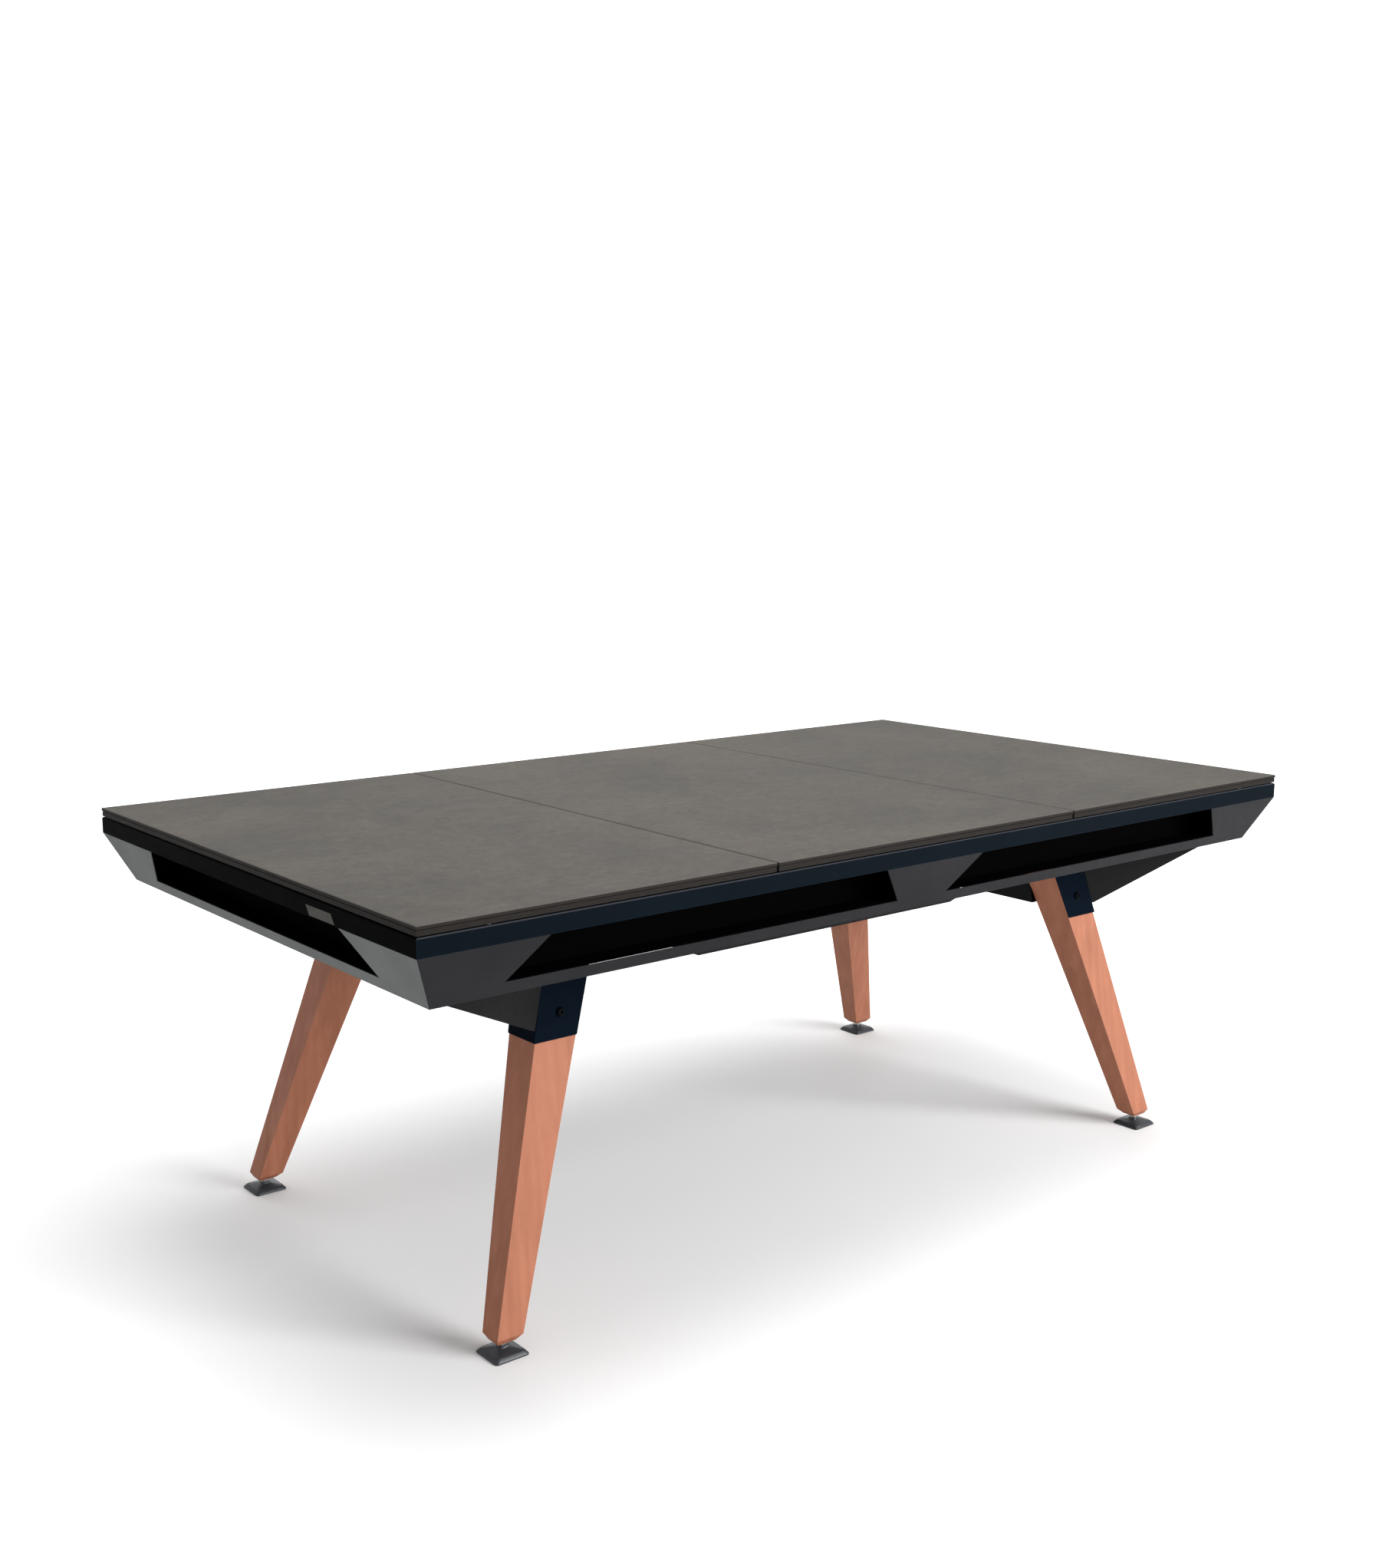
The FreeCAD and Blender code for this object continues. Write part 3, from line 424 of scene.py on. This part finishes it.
def floor_finish():
    """Pale studio floor with a barely uneven paint film."""
    f = Finish("studio floor", Specular_IOR_Level=0.2)
    film = f.noise(1.3, 3.0, 0.5)
    base = colours().floor
    f.colour(f.mix(f.range(film, 0.3, 0.7), rgb(base, 0.985), rgb(base, 1.01)))
    f.roughness(f.range(film, 0.3, 0.7, 0.65, 0.75))
    return f.material


# Mesh helpers

def mesh_piece(name, points, faces, material, body, slot, smooth=True):
    """A mesh piece in the frame's metres, riding on a body."""
    mesh = bpy.data.meshes.new(name)
    mesh.from_pydata([tuple(p) for p in points], [], faces)
    mesh.validate()
    shell = bmesh.new()
    shell.from_mesh(mesh)
    bmesh.ops.recalc_face_normals(shell, faces=shell.faces)
    shell.to_mesh(mesh)
    shell.free()
    mesh.polygons.foreach_set("use_smooth", [smooth] * len(mesh.polygons))
    piece = bpy.data.objects.new(name, mesh)
    bpy.context.scene.collection.objects.link(piece)
    piece.data.materials.append(material)
    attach(piece, body)
    return piece


def loft(rings, cap_start=True, cap_end=True):
    """Points and faces of a skin over closed rings with the same count."""
    points = [p for ring in rings for p in ring]
    count = len(rings[0])
    faces = []
    for r in range(len(rings) - 1):
        for i in range(count):
            j = (i + 1) % count
            faces.append((r * count + i, r * count + j, (r + 1) * count + j, (r + 1) * count + i))
    if cap_start:
        faces.append(tuple(reversed(range(count))))
    if cap_end:
        faces.append(tuple(range((len(rings) - 1) * count, len(rings) * count)))
    return points, faces


def circle(centre, radius, z, count):
    """A level ring of points."""
    step = 2 * math.pi / count
    return [Vector((centre[0] + radius * math.cos(k * step), centre[1] + radius * math.sin(k * step), z))
            for k in range(count)]


def rounded_square(centre, half, radius, z, per_corner=8):
    """A level square with round corners."""
    ring = []
    for quarter in range(4):
        turn = quarter * math.pi / 2
        cx = (half - radius) * (1 if quarter in (0, 3) else -1)
        cy = (half - radius) * (1 if quarter in (0, 1) else -1)
        for k in range(per_corner + 1):
            a = turn + k * math.pi / 2 / per_corner
            ring.append(Vector((centre[0] + cx + radius * math.cos(a),
                                centre[1] + cy + radius * math.sin(a), z)))
    return ring


def sharpen(piece, angle=35.0):
    """Smooth shading that breaks at real edges."""
    piece.data.set_sharp_from_angle(angle=math.radians(angle))


def soften(node, width, segments=2, angle=25.0):
    """Rounds the edges of a CAD node's shown mesh without touching the mesh itself."""
    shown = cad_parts[node]
    weld = shown.modifiers.new("weld", "WELD")
    weld.merge_threshold = 0.00002
    flat = shown.modifiers.new("flatten", "DECIMATE")
    flat.decimate_type = "DISSOLVE"
    flat.angle_limit = math.radians(0.5)
    bevel = shown.modifiers.new("edge", "BEVEL")
    bevel.width = width
    bevel.segments = segments
    bevel.limit_method = "ANGLE"
    bevel.angle_limit = math.radians(angle)
    bevel.use_clamp_overlap = True
    bevel.harden_normals = True


def finish_node(node, material):
    """Gives a CAD node its finish."""
    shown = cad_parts[node]
    shown.data.materials.clear()
    shown.data.materials.append(material)


def dress(names, material, edge=None, segments=2):
    """Finish and edges for a list of CAD nodes."""
    for name in names:
        finish_node(name, material)
        if edge:
            soften(name, edge, segments)


def middle(node):
    """The middle of a CAD node's box."""
    low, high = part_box(node)
    return (low + high) / 2


# Covers

class POOL_OT_covers(bpy.types.Operator):
    """Finish the cover plates, their boards and bumpers"""

    bl_idname = "pool.covers"
    bl_label = "Covers"

    def execute(self, context):
        dress(["cover_plate_" + n for n in COVERS], ceramic_finish(), sizes().plate_edge)
        dress(["cover_board_" + n for n in COVERS], board_finish(), sizes().plate_edge)
        dress(["cover_pads_" + n for n in COVERS], rubber_finish(), sizes().plate_edge)
        return {"FINISHED"}


# Rails, sights and badge

class POOL_OT_rails(bpy.types.Operator):
    """Finish the top rails, set the round sights and the blank badge plate"""

    bl_idname = "pool.rails"
    bl_label = "Rails"

    def execute(self, context):
        # The long rails' slanted arris gets a painted highlight colour.
        paint = powder_coat("long rail powder coat", colours().rail, 0.40, 6.0, 0.02,
                            colours().rail_arris_highlight)
        dress(["rail_front", "rail_back"], paint, sizes().metal_edge)
        # The short rails get a darker copy of the rail paint: painted shade.
        paint = powder_coat("end rail powder coat, painted shade", colours().end_rail_shade, 0.40, 6.0, 0.005)
        dress(["rail_left", "rail_right"], paint, sizes().metal_edge)
        badge = metal_finish("badge metal", colours().badge, 0.40, (1.0, 12.0, 1.0))
        dress(["badge_plate"], badge, sizes().plate_edge)
        self.sights()
        return {"FINISHED"}

    def sights(self):
        """Round inlays halfway across each rail, where the play area's eighths fall."""
        pearl = metal_finish("sight inlay", colours().sight, 0.28, (1.0, 1.0, 1.0), 0.3)
        half = middle_of_play()
        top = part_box("rail_front")[1].z
        places = []
        for k in (1, 2, 3):
            for sx, sy in ((1, 1), (1, -1), (-1, 1), (-1, -1)):
                places.append((sx * half.x * k / 4, sy * rail_line().y))
        for k in (-1, 0, 1):
            places += [(s * rail_line().x, half.y * k / 2) for s in (-1, 1)]
        for number, place in enumerate(places):
            r = sizes().sight_radius
            rings = [circle(place, r, top - 0.0002, 24), circle(place, r, top + 0.00012, 24),
                     circle(place, r - 0.0004, top + 0.0002, 24)]
            piece = mesh_piece("sight_%02d" % number, *loft(rings), pearl, "table", "badge_metal")
            sharpen(piece)


def middle_of_play():
    """Half the play area, from the cushion noses."""
    return Vector((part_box("cushion_right")[0].x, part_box("cushion_back_right")[0].y))


def side_pocket_y():
    """How far from the middle of the table the side pockets stand; the cups' box is two cups wide."""
    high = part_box("side_cups")[1]
    return high.y - high.x


def rail_line():
    """Where the middle line of the rails' flat tops runs."""
    back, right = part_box("cushion_back_right")[1].y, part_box("cushion_right")[1].x
    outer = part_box("rail_back")[1]
    return Vector(((right + outer.x) / 2, (back + outer.y) / 2))


# Bed cloth

class POOL_OT_bed(bpy.types.Operator):
    """Finish the slate and stretch the cloth over it"""

    bl_idname = "pool.bed"
    bl_label = "Bed and cloth"

    def execute(self, context):
        dress(["bed_slate"], slate_finish())
        self.cloth()
        self.spots()
        return {"FINISHED"}

    def quarter(self):
        """The outline of one quarter of the bed, from the right edge round to the back edge's middle."""
        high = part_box("bed_cloth")[1]
        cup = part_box("corner_cup_back_right")
        radius = CORNER_CUT_R
        corner = Vector((cup[1].x - CUP_REACH, cup[0].y + CUP_REACH))
        notch = Vector((high.x - CORNER_NOTCH[0], high.y - CORNER_NOTCH[1]))
        points = []
        start = math.atan2(-math.sqrt(radius**2 - (high.x - corner.x) ** 2), high.x - corner.x)
        end = math.atan2(notch.y - corner.y, -math.sqrt(radius**2 - (notch.y - corner.y) ** 2))
        for k in range(15):
            a = start + (end - start) * k / 14
            points.append(corner + radius * Vector((math.cos(a), math.sin(a))))
        points += [notch.copy(), Vector((notch.x, high.y))]
        side_y, side_r = side_pocket_y(), SIDE_CUT_R
        start = math.asin((high.y - side_y) / side_r)
        for k in range(11):
            a = start + (-math.pi / 2 - start) * k / 10
            points.append(Vector((side_r * math.cos(a), side_y + side_r * math.sin(a))))
        return points

    def outline(self):
        """The whole outline, anticlockwise from the right edge."""
        quarter = self.quarter()
        back = quarter + [Vector((-p.x, p.y)) for p in reversed(quarter[:-1])]
        front = [Vector((-p.x, -p.y)) for p in back]
        return back + front

    def cloth(self):
        """The stretched sheet with its turned-down edge."""
        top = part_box("bed_cloth")[1].z
        outline = self.outline()
        half = sizes().cloth_thickness / 2
        sheet = bmesh.new()
        ring = [sheet.verts.new((p.x, p.y, top - half)) for p in outline]
        face = sheet.faces.new(ring)
        sheet.normal_update()
        if face.normal.z < 0:
            face.normal_flip()
        edges = list(face.edges)
        drop = bmesh.ops.extrude_edge_only(sheet, edges=edges)
        lower = [v for v in drop["geom"] if isinstance(v, bmesh.types.BMVert)]
        bmesh.ops.translate(sheet, verts=lower, vec=(0, 0, -sizes().cloth_skirt))
        bmesh.ops.triangulate(sheet, faces=[f for f in sheet.faces if len(f.verts) > 4])
        area = sum(f.calc_area() for f in sheet.faces)
        mesh = bpy.data.meshes.new("stretched_cloth")
        sheet.to_mesh(mesh)
        sheet.free()
        piece = bpy.data.objects.new("stretched_cloth", mesh)
        bpy.context.scene.collection.objects.link(piece)
        mesh.materials.append(cloth_finish())
        solid = piece.modifiers.new("thickness", "SOLIDIFY")
        solid.thickness = sizes().cloth_thickness
        solid.offset = 0.0
        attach(piece, "table")
        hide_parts("bed_cloth")

    def spots(self):
        """Two thin spots, where the balls are set up."""
        ink = spot_finish()
        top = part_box("bed_cloth")[1].z
        half = middle_of_play()
        for name, x in (("head_spot", -half.x / 2), ("foot_spot", half.x / 2)):
            r = sizes().spot_radius
            rings = [circle((x, 0), r, top - 0.0001, 32), circle((x, 0), r, top + 0.0001, 32),
                     circle((x, 0), r - 0.0006, top + 0.0003, 32)]
            mesh_piece(name, *loft(rings), ink, "table", "badge_metal")


def spot_finish():
    """The thin fabric of a ball spot."""
    f = Finish("ball spot", Specular_IOR_Level=0.2)
    weave = f.noise(900.0, 3.0)
    f.colour(f.mix(f.range(weave, 0.3, 0.7), rgb((0.02, 0.02, 0.02)), rgb((0.05, 0.05, 0.05))))
    f.roughness(f.range(weave, 0.3, 0.7, 0.7, 0.9))
    f.bump((weave, 0.2, 0.0002))
    return f.material


# Cushions

class POOL_OT_cushions(bpy.types.Operator):
    """Cover the cushions: a rounded nose, a tucked-in back edge and angled pocket ends"""

    bl_idname = "pool.cushions"
    bl_label = "Cushions"

    def execute(self, context):
        cloth = bpy.data.materials["billiard cloth"]
        for node in ["cushion_" + n for n, _, _ in CORNERS] + ["cushion_left", "cushion_right"]:
            self.cushion(node, cloth)
        return {"FINISHED"}

    def section(self):
        """(depth behind the nose, height share) round a cushion, from the top back edge."""
        points = [(1.0, 0.93), (0.985, 0.93), (0.975, 0.90), (0.955, 0.985), (0.90, 1.0), (0.60, 0.995),
                  (0.30, 0.985), (0.14, 0.965)]
        for k in range(9):
            a = math.radians(70 + 25 * k)
            points.append((0.055 - 0.052 * math.sin(a - 0.35), 0.875 + 0.075 * math.cos(a - 0.6)))
        points += [(0.30, 0.52), (0.55, 0.24), (0.74, 0.015), (0.80, 0.0), (1.0, 0.0)]
        return points

    def cushion(self, node, cloth):
        """One covered cushion, lofted along its length inside the CAD solid."""
        low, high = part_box(node)
        along = 0 if (high.x - low.x) > (high.y - low.y) else 1
        across = 1 - along
        outward = 1 if (low[across] + high[across]) > 0 else -1
        nose = low[across] if outward > 0 else high[across]
        depth = high[across] - low[across]
        ends = self.ends(node, low, high)
        steps = 24
        rings = []
        for k in range(steps + 1):
            ring = []
            for d, h in self.section():
                start = ends[0][0] + (ends[0][1] - ends[0][0]) * d
                stop = ends[1][0] + (ends[1][1] - ends[1][0]) * d
                point = [0.0, 0.0, low.z + (high.z - low.z) * h]
                point[along] = start + (stop - start) * k / steps
                point[across] = nose + outward * depth * d
                ring.append(Vector(point))
            rings.append(ring)
        piece = mesh_piece("covered_" + node, *loft(rings), cloth, "table", "cushion_cloth")
        sharpen(piece, 50)
        bevel = piece.modifiers.new("facing edge", "BEVEL")
        bevel.width = 0.0012
        bevel.segments = 2
        bevel.limit_method = "ANGLE"
        bevel.angle_limit = math.radians(50)
        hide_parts(node)

    def ends(self, node, low, high):
        """(at the nose, at the back) for each end, a hair inside the CAD solid."""
        spare = 0.0006
        if node in ("cushion_left", "cushion_right"):
            return ((low.y + CORNER_FACING + spare, low.y + spare),
                    (high.y - CORNER_FACING - spare, high.y - spare))
        near_side = (SIDE_FACING + spare, spare)
        near_corner = (CORNER_FACING + spare, spare)
        if low.x > 0:
            return ((low.x + near_side[0], low.x + near_side[1]),
                    (high.x - near_corner[0], high.x - near_corner[1]))
        return ((low.x + near_corner[0], low.x + near_corner[1]),
                (high.x - near_side[0], high.x - near_side[1]))


# Aprons, trays and steel

class POOL_OT_aprons(bpy.types.Operator):
    """Finish the aprons and the moulded trays and cups behind them"""

    bl_idname = "pool.aprons"
    bl_label = "Aprons and trays"

    def execute(self, context):
        # Darker copy of the apron paint: painted shade.
        paint = powder_coat("long apron powder coat, painted shade", colours().apron, 0.45, 1.5, 0.03)
        dress(["apron_front", "apron_back"], paint, sizes().apron_edge)
        # Lighter copy of the apron paint: painted light.
        paint = powder_coat("end apron powder coat, painted light", colours().end_apron_lit, 0.45, 1.3, 0.02)
        dress(["apron_left", "apron_right"], paint, sizes().apron_edge)
        moulded = plastic_finish("moulded tray plastic", colours().plastic)
        trays = ["return_tray_" + n for n, _, _ in CORNERS] + ["corner_cup_" + n for n, _, _ in CORNERS]
        dress(trays + ["side_cups", "end_trays"], moulded)
        for name, sx, sy in CORNERS:
            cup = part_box("corner_cup_" + name)
            place = (sx * (max(abs(cup[0].x), abs(cup[1].x)) - CUP_REACH),
                     sy * (min(abs(cup[0].y), abs(cup[1].y)) + CUP_REACH))
            self.liner("pocket_liner_" + name, place, CORNER_LINER_R, math.atan2(sy, sx), 82.0, moulded)
        for name, sy in (("front", -1), ("back", 1)):
            place = (0.0, sy * side_pocket_y())
            self.liner("pocket_liner_" + name, place, SIDE_LINER_R, sy * math.pi / 2, 55.0, moulded)
        return {"FINISHED"}

    def liner(self, name, place, inner, facing, reach, plastic):
        """The collar behind a pocket, from the cup up to the rail's top, with a rolled lip."""
        low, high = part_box("side_cups")[1].z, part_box("rail_back")[1].z - 0.0012
        section = [(0.0008, low), (0.0036, low), (0.0036, high - 0.0010), (0.0029, high - 0.0002),
                   (0.0018, high), (0.0006, high - 0.0003), (0.0, high - 0.0014), (0.0, low + 0.001)]
        rings = []
        steps = 40
        for k in range(steps + 1):
            a = facing + math.radians(reach) * (2 * k / steps - 1)
            rings.append([Vector((place[0] + (inner + r) * math.cos(a),
                                  place[1] + (inner + r) * math.sin(a), z)) for r, z in section])
        sharpen(mesh_piece(name, *loft(rings), plastic, "table", "moulded_plastic"), 40)


class POOL_OT_chassis(bpy.types.Operator):
    """Finish the chassis, the leg consoles and brackets, and the belly pan"""

    bl_idname = "pool.chassis"
    bl_label = "Chassis"

    def execute(self, context):
        steel = powder_coat("chassis powder coat", colours().chassis, 0.5)
        dress(["chassis_frame", "outriggers", "belly_pan", "cushion_strips"], steel, sizes().metal_edge)
        sheet = powder_coat("console powder coat", colours().console, 0.42, 1.6)
        dress(["console_left", "console_right"], sheet, sizes().metal_edge)
        bracket = powder_coat("bracket powder coat", colours().bracket, 0.40, 5.0, 0.01)
        dress(["leg_bracket_" + n for n, _, _ in CORNERS], bracket, sizes().metal_edge)
        return {"FINISHED"}


# Legs and feet

class POOL_OT_legs(bpy.types.Operator):
    """Finish the wooden legs, their inserts and bolts"""

    bl_idname = "pool.legs"
    bl_label = "Legs"

    def execute(self, context):
        dress(["leg_" + n for n, _, _ in CORNERS], wood_finish(), sizes().wood_edge, 3)
        dress(["leg_inserts"], metal_finish("insert brass", colours().brass, 0.25, (1.0, 1.0, 6.0)))
        bolt = powder_coat("black oxide", colours().bolt, 0.50, 1.5, 0.02)
        dress(["leg_bolts"], bolt, sizes().plate_edge)
        return {"FINISHED"}


class POOL_OT_feet(bpy.types.Operator):
    """Make the levelling pads, and the studs with their threads and lock nuts"""

    bl_idname = "pool.feet"
    bl_label = "Feet"

    def execute(self, context):
        plastic = plastic_finish("pad plastic", colours().pad, 0.36, 0.45)
        steel = metal_finish("zinc thread", colours().zinc, 0.22, (1.0, 1.0, 5.0))
        for name, _, _ in CORNERS:
            self.pad(name, plastic)
            self.stud(name, steel)
        return {"FINISHED"}

    def pad(self, name, plastic):
        """A square pad: upright rim, bevelled shoulder, crowned top and a hub."""
        node = "level_pad_" + name
        low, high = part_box(node)
        c = middle(node)
        half = (high.x - low.x) / 2
        rim = sizes().pad_rim
        shoulder = 0.0090
        levels = [
            (half - 0.0010, 0.0052, 0.0), (half - 0.0002, 0.0058, 0.0006), (half, 0.0060, rim),
            (half - 0.0006, 0.0060, rim + 0.0012), (half - 0.0046, 0.0062, shoulder - 0.0010),
            (half - 0.0056, 0.0064, shoulder - 0.0002), (half - 0.0074, 0.0066, shoulder + 0.0003),
            (half - 0.0150, 0.0060, shoulder + 0.0018), (0.0128, 0.0055, shoulder + 0.0034),
        ]
        rings = [rounded_square(c, h, r, low.z + z) for h, r, z in levels]
        hub = [(0.0112, 0.0124), (0.0108, 0.0132), (0.0106, 0.0140), (0.0098, 0.0149), (0.0060, 0.0150),
               (0.0053, 0.0145), (0.0052, 0.0100)]
        for radius, z in hub:
            ring = []
            for p in rings[0]:
                away = Vector((p.x - c.x, p.y - c.y)).normalized() * radius
                ring.append(Vector((c.x + away.x, c.y + away.y, low.z + z)))
            rings.append(ring)
        piece = mesh_piece("foot_pad_" + name, *loft(rings), plastic, "foot_" + name, "pad_plastic")
        sharpen(piece, 40)
        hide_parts(node)

    def stud(self, name, steel):
        """A rod with a real helical thread, and a chamfered lock nut on it."""
        node = "level_stud_" + name
        low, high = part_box(node)
        c = middle("level_pad_" + name)
        outer = 0.00498
        pitch, depth = sizes().thread_pitch, sizes().thread_depth
        per_turn, around = 6, 20
        count = int((high.z - low.z) / pitch * per_turn)
        rings = []
        for k in range(count + 1):
            z = low.z + (high.z - low.z) * k / count
            fade = min(1.0, (z - low.z) / 0.0015, (high.z - z) / 0.0015)
            ring = []
            for i in range(around):
                phase = (z / pitch - i / around) % 1.0
                wave = abs(2 * phase - 1)
                r = outer - depth * (1 - wave * fade)
                a = 2 * math.pi * i / around
                ring.append(Vector((c.x + r * math.cos(a), c.y + r * math.sin(a), z)))
            rings.append(ring)
        rod = mesh_piece("threaded_stud_" + name, *loft(rings), steel, "stud_" + name, "stud_steel")
        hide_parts(node)
        self.nut(name, c, steel)

    def hexagon(self, c, flats, share, z, most):
        """A level hexagonal ring, scaled about its middle, with its corners cut off at a radius."""
        ring = []
        for i in range(48):
            a = 2 * math.pi * i / 48
            turn = (a + math.pi / 6) % (math.pi / 3) - math.pi / 6
            reach = share * min(flats / 2 / math.cos(turn), most)
            ring.append(Vector((c.x + reach * math.cos(a), c.y + reach * math.sin(a), z)))
        return ring

    def nut(self, name, c, steel):
        """The hexagon collar under the leg, with turned corners."""
        bottom, top, flats = 0.0166, 0.0214, 0.0138
        wide, turned = 1.0, flats / 2 * 1.02
        levels = [(0.74, bottom + 0.0005, wide), (0.78, bottom, wide), (1.0, bottom, turned),
                  (1.0, bottom + 0.0008, wide), (1.0, top - 0.0008, wide), (1.0, top, turned),
                  (0.74, top, wide)]
        rings = [self.hexagon(c, flats, share, z, most) for share, z, most in levels]
        piece = mesh_piece("hex_collar_" + name, *loft(rings), steel, "stud_" + name, "stud_steel")
        sharpen(piece, 30)


# Studio

CAMERA_PLACE = (-2.27905, -2.69582, 1.39580)
CAMERA_SENSOR = 36.0
CAMERA_LENS = 39.802192
CAMERA_TURN = (1.6625, -0.58871, 0.5005)


class POOL_OT_studio(bpy.types.Operator):
    """Set the floor, the soft lights and the camera"""

    bl_idname = "pool.studio"
    bl_label = "Studio"

    def execute(self, context):
        self.floor()
        self.lights()
        self.camera()
        context.scene.view_settings.view_transform = "Standard"
        return {"FINISHED"}

    def floor(self):
        """A floor that curves up into a backdrop behind the table and stays flat in front of it."""
        around, behind = 96, math.radians(51)
        level_beyond, blend = math.radians(75), math.radians(30)
        rings = []
        for r, z in self.sweep():
            ring = circle((0, 0), r, 0.0, around)
            for k, point in enumerate(ring):
                off = abs((2 * math.pi * k / around - behind + math.pi) % (2 * math.pi) - math.pi)
                share = min(1.0, max(0.0, (level_beyond - off) / blend))
                point.z = z * share * share * (3 - 2 * share)
            rings.append(ring)
        points, faces = loft(rings, True, False)
        mesh = bpy.data.meshes.new("studio_floor")
        mesh.from_pydata([tuple(p) for p in points], [], faces)
        mesh.polygons.foreach_set("use_smooth", [True] * len(mesh.polygons))
        floor = bpy.data.objects.new("studio_floor", mesh)
        bpy.context.scene.collection.objects.link(floor)
        mesh.materials.append(floor_finish())

    def sweep(self):
        """The backdrop's section as (distance from the table, height)."""
        flat, bend, height = 7.0, 3.0, 9.0
        section = [(0.01, 0.0), (flat, 0.0)]
        for k in range(1, 13):
            a = math.pi / 2 * k / 12
            section.append((flat + bend * math.sin(a), bend - bend * math.cos(a)))
        return section + [(flat + bend + 0.5, height)]

    def lights(self):
        """A pale surround, a wide low key in front, a lamp for the backdrop and one overhead."""
        world = bpy.data.worlds.new("studio")
        world.use_nodes = True
        ground = world.node_tree.nodes["Background"]
        ground.inputs["Color"].default_value = (1.0, 1.0, 1.0, 1.0)
        ground.inputs["Strength"].default_value = 0.55
        bpy.context.scene.world = world
        self.area("key", (2.4, -5.2, 2.9), (0.2, 0.0, 0.4), 3.2, 470)
        self.area("backdrop", (2.0, 3.0, 4.5), (4.5, 7.0, 1.5), 3.0, 420)
        self.area("top", (0.3, 0.6, 5.5), (0.0, 0.0, 0.7), 4.0, 260)

    def area(self, name, place, target, size, power):
        """A square area lamp that looks at a target."""
        lamp = bpy.data.lights.new(name, "AREA")
        lamp.energy = power
        lamp.size = size
        light = bpy.data.objects.new(name, lamp)
        light.location = place
        light.rotation_euler = (Vector(target) - Vector(place)).to_track_quat("-Z", "Y").to_euler()
        bpy.context.scene.collection.objects.link(light)

    def camera(self):
        """The camera stands at the table's front left corner, a little above the covers."""
        lens = bpy.data.cameras.new("camera")
        lens.sensor_width = CAMERA_SENSOR
        lens.lens = CAMERA_LENS
        lens.clip_end = 100.0
        camera = bpy.data.objects.new("camera", lens)
        turn = Vector(CAMERA_TURN)
        to_camera = Matrix.Rotation(turn.length, 3, turn.normalized())
        axes = Matrix((to_camera[0], -to_camera[1], -to_camera[2])).transposed()
        camera.matrix_world = Matrix.Translation(CAMERA_PLACE) @ axes.to_4x4()
        bpy.context.scene.collection.objects.link(camera)
        bpy.context.scene.camera = camera


class POOL_PT_panel(bpy.types.Panel):
    """The table's settings and steps"""

    bl_idname = "POOL_PT_panel"
    bl_label = "Pool Table"
    bl_space_type = "VIEW_3D"
    bl_region_type = "UI"
    bl_category = "Pool Table"

    def draw(self, context):
        for group in (sizes(), colours()):
            box = self.layout.box()
            for key in group.__annotations__:
                box.prop(group, key)
        for step in STEPS:
            self.layout.operator(step.bl_idname)


STEPS = (POOL_OT_studio, POOL_OT_covers, POOL_OT_rails, POOL_OT_bed, POOL_OT_cushions, POOL_OT_aprons,
         POOL_OT_chassis, POOL_OT_legs, POOL_OT_feet)
CLASSES = (PoolTableSizes, PoolTableColours, *STEPS, POOL_PT_panel)


def register():
    """Registers the add-on's classes and its settings on the scene."""
    for cls in CLASSES:
        bpy.utils.register_class(cls)
    bpy.types.Scene.pool_table_sizes = PointerProperty(type=PoolTableSizes)
    bpy.types.Scene.pool_table_colours = PointerProperty(type=PoolTableColours)


def unregister():
    """Takes the settings and the classes away again."""
    del bpy.types.Scene.pool_table_colours
    del bpy.types.Scene.pool_table_sizes
    for cls in reversed(CLASSES):
        bpy.utils.unregister_class(cls)


def main():
    """Registers the add-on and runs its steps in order."""
    register()
    for step in STEPS:
        group, name = step.bl_idname.split(".")
        getattr(getattr(bpy.ops, group), name)()


if __name__ == "__main__":
    main()
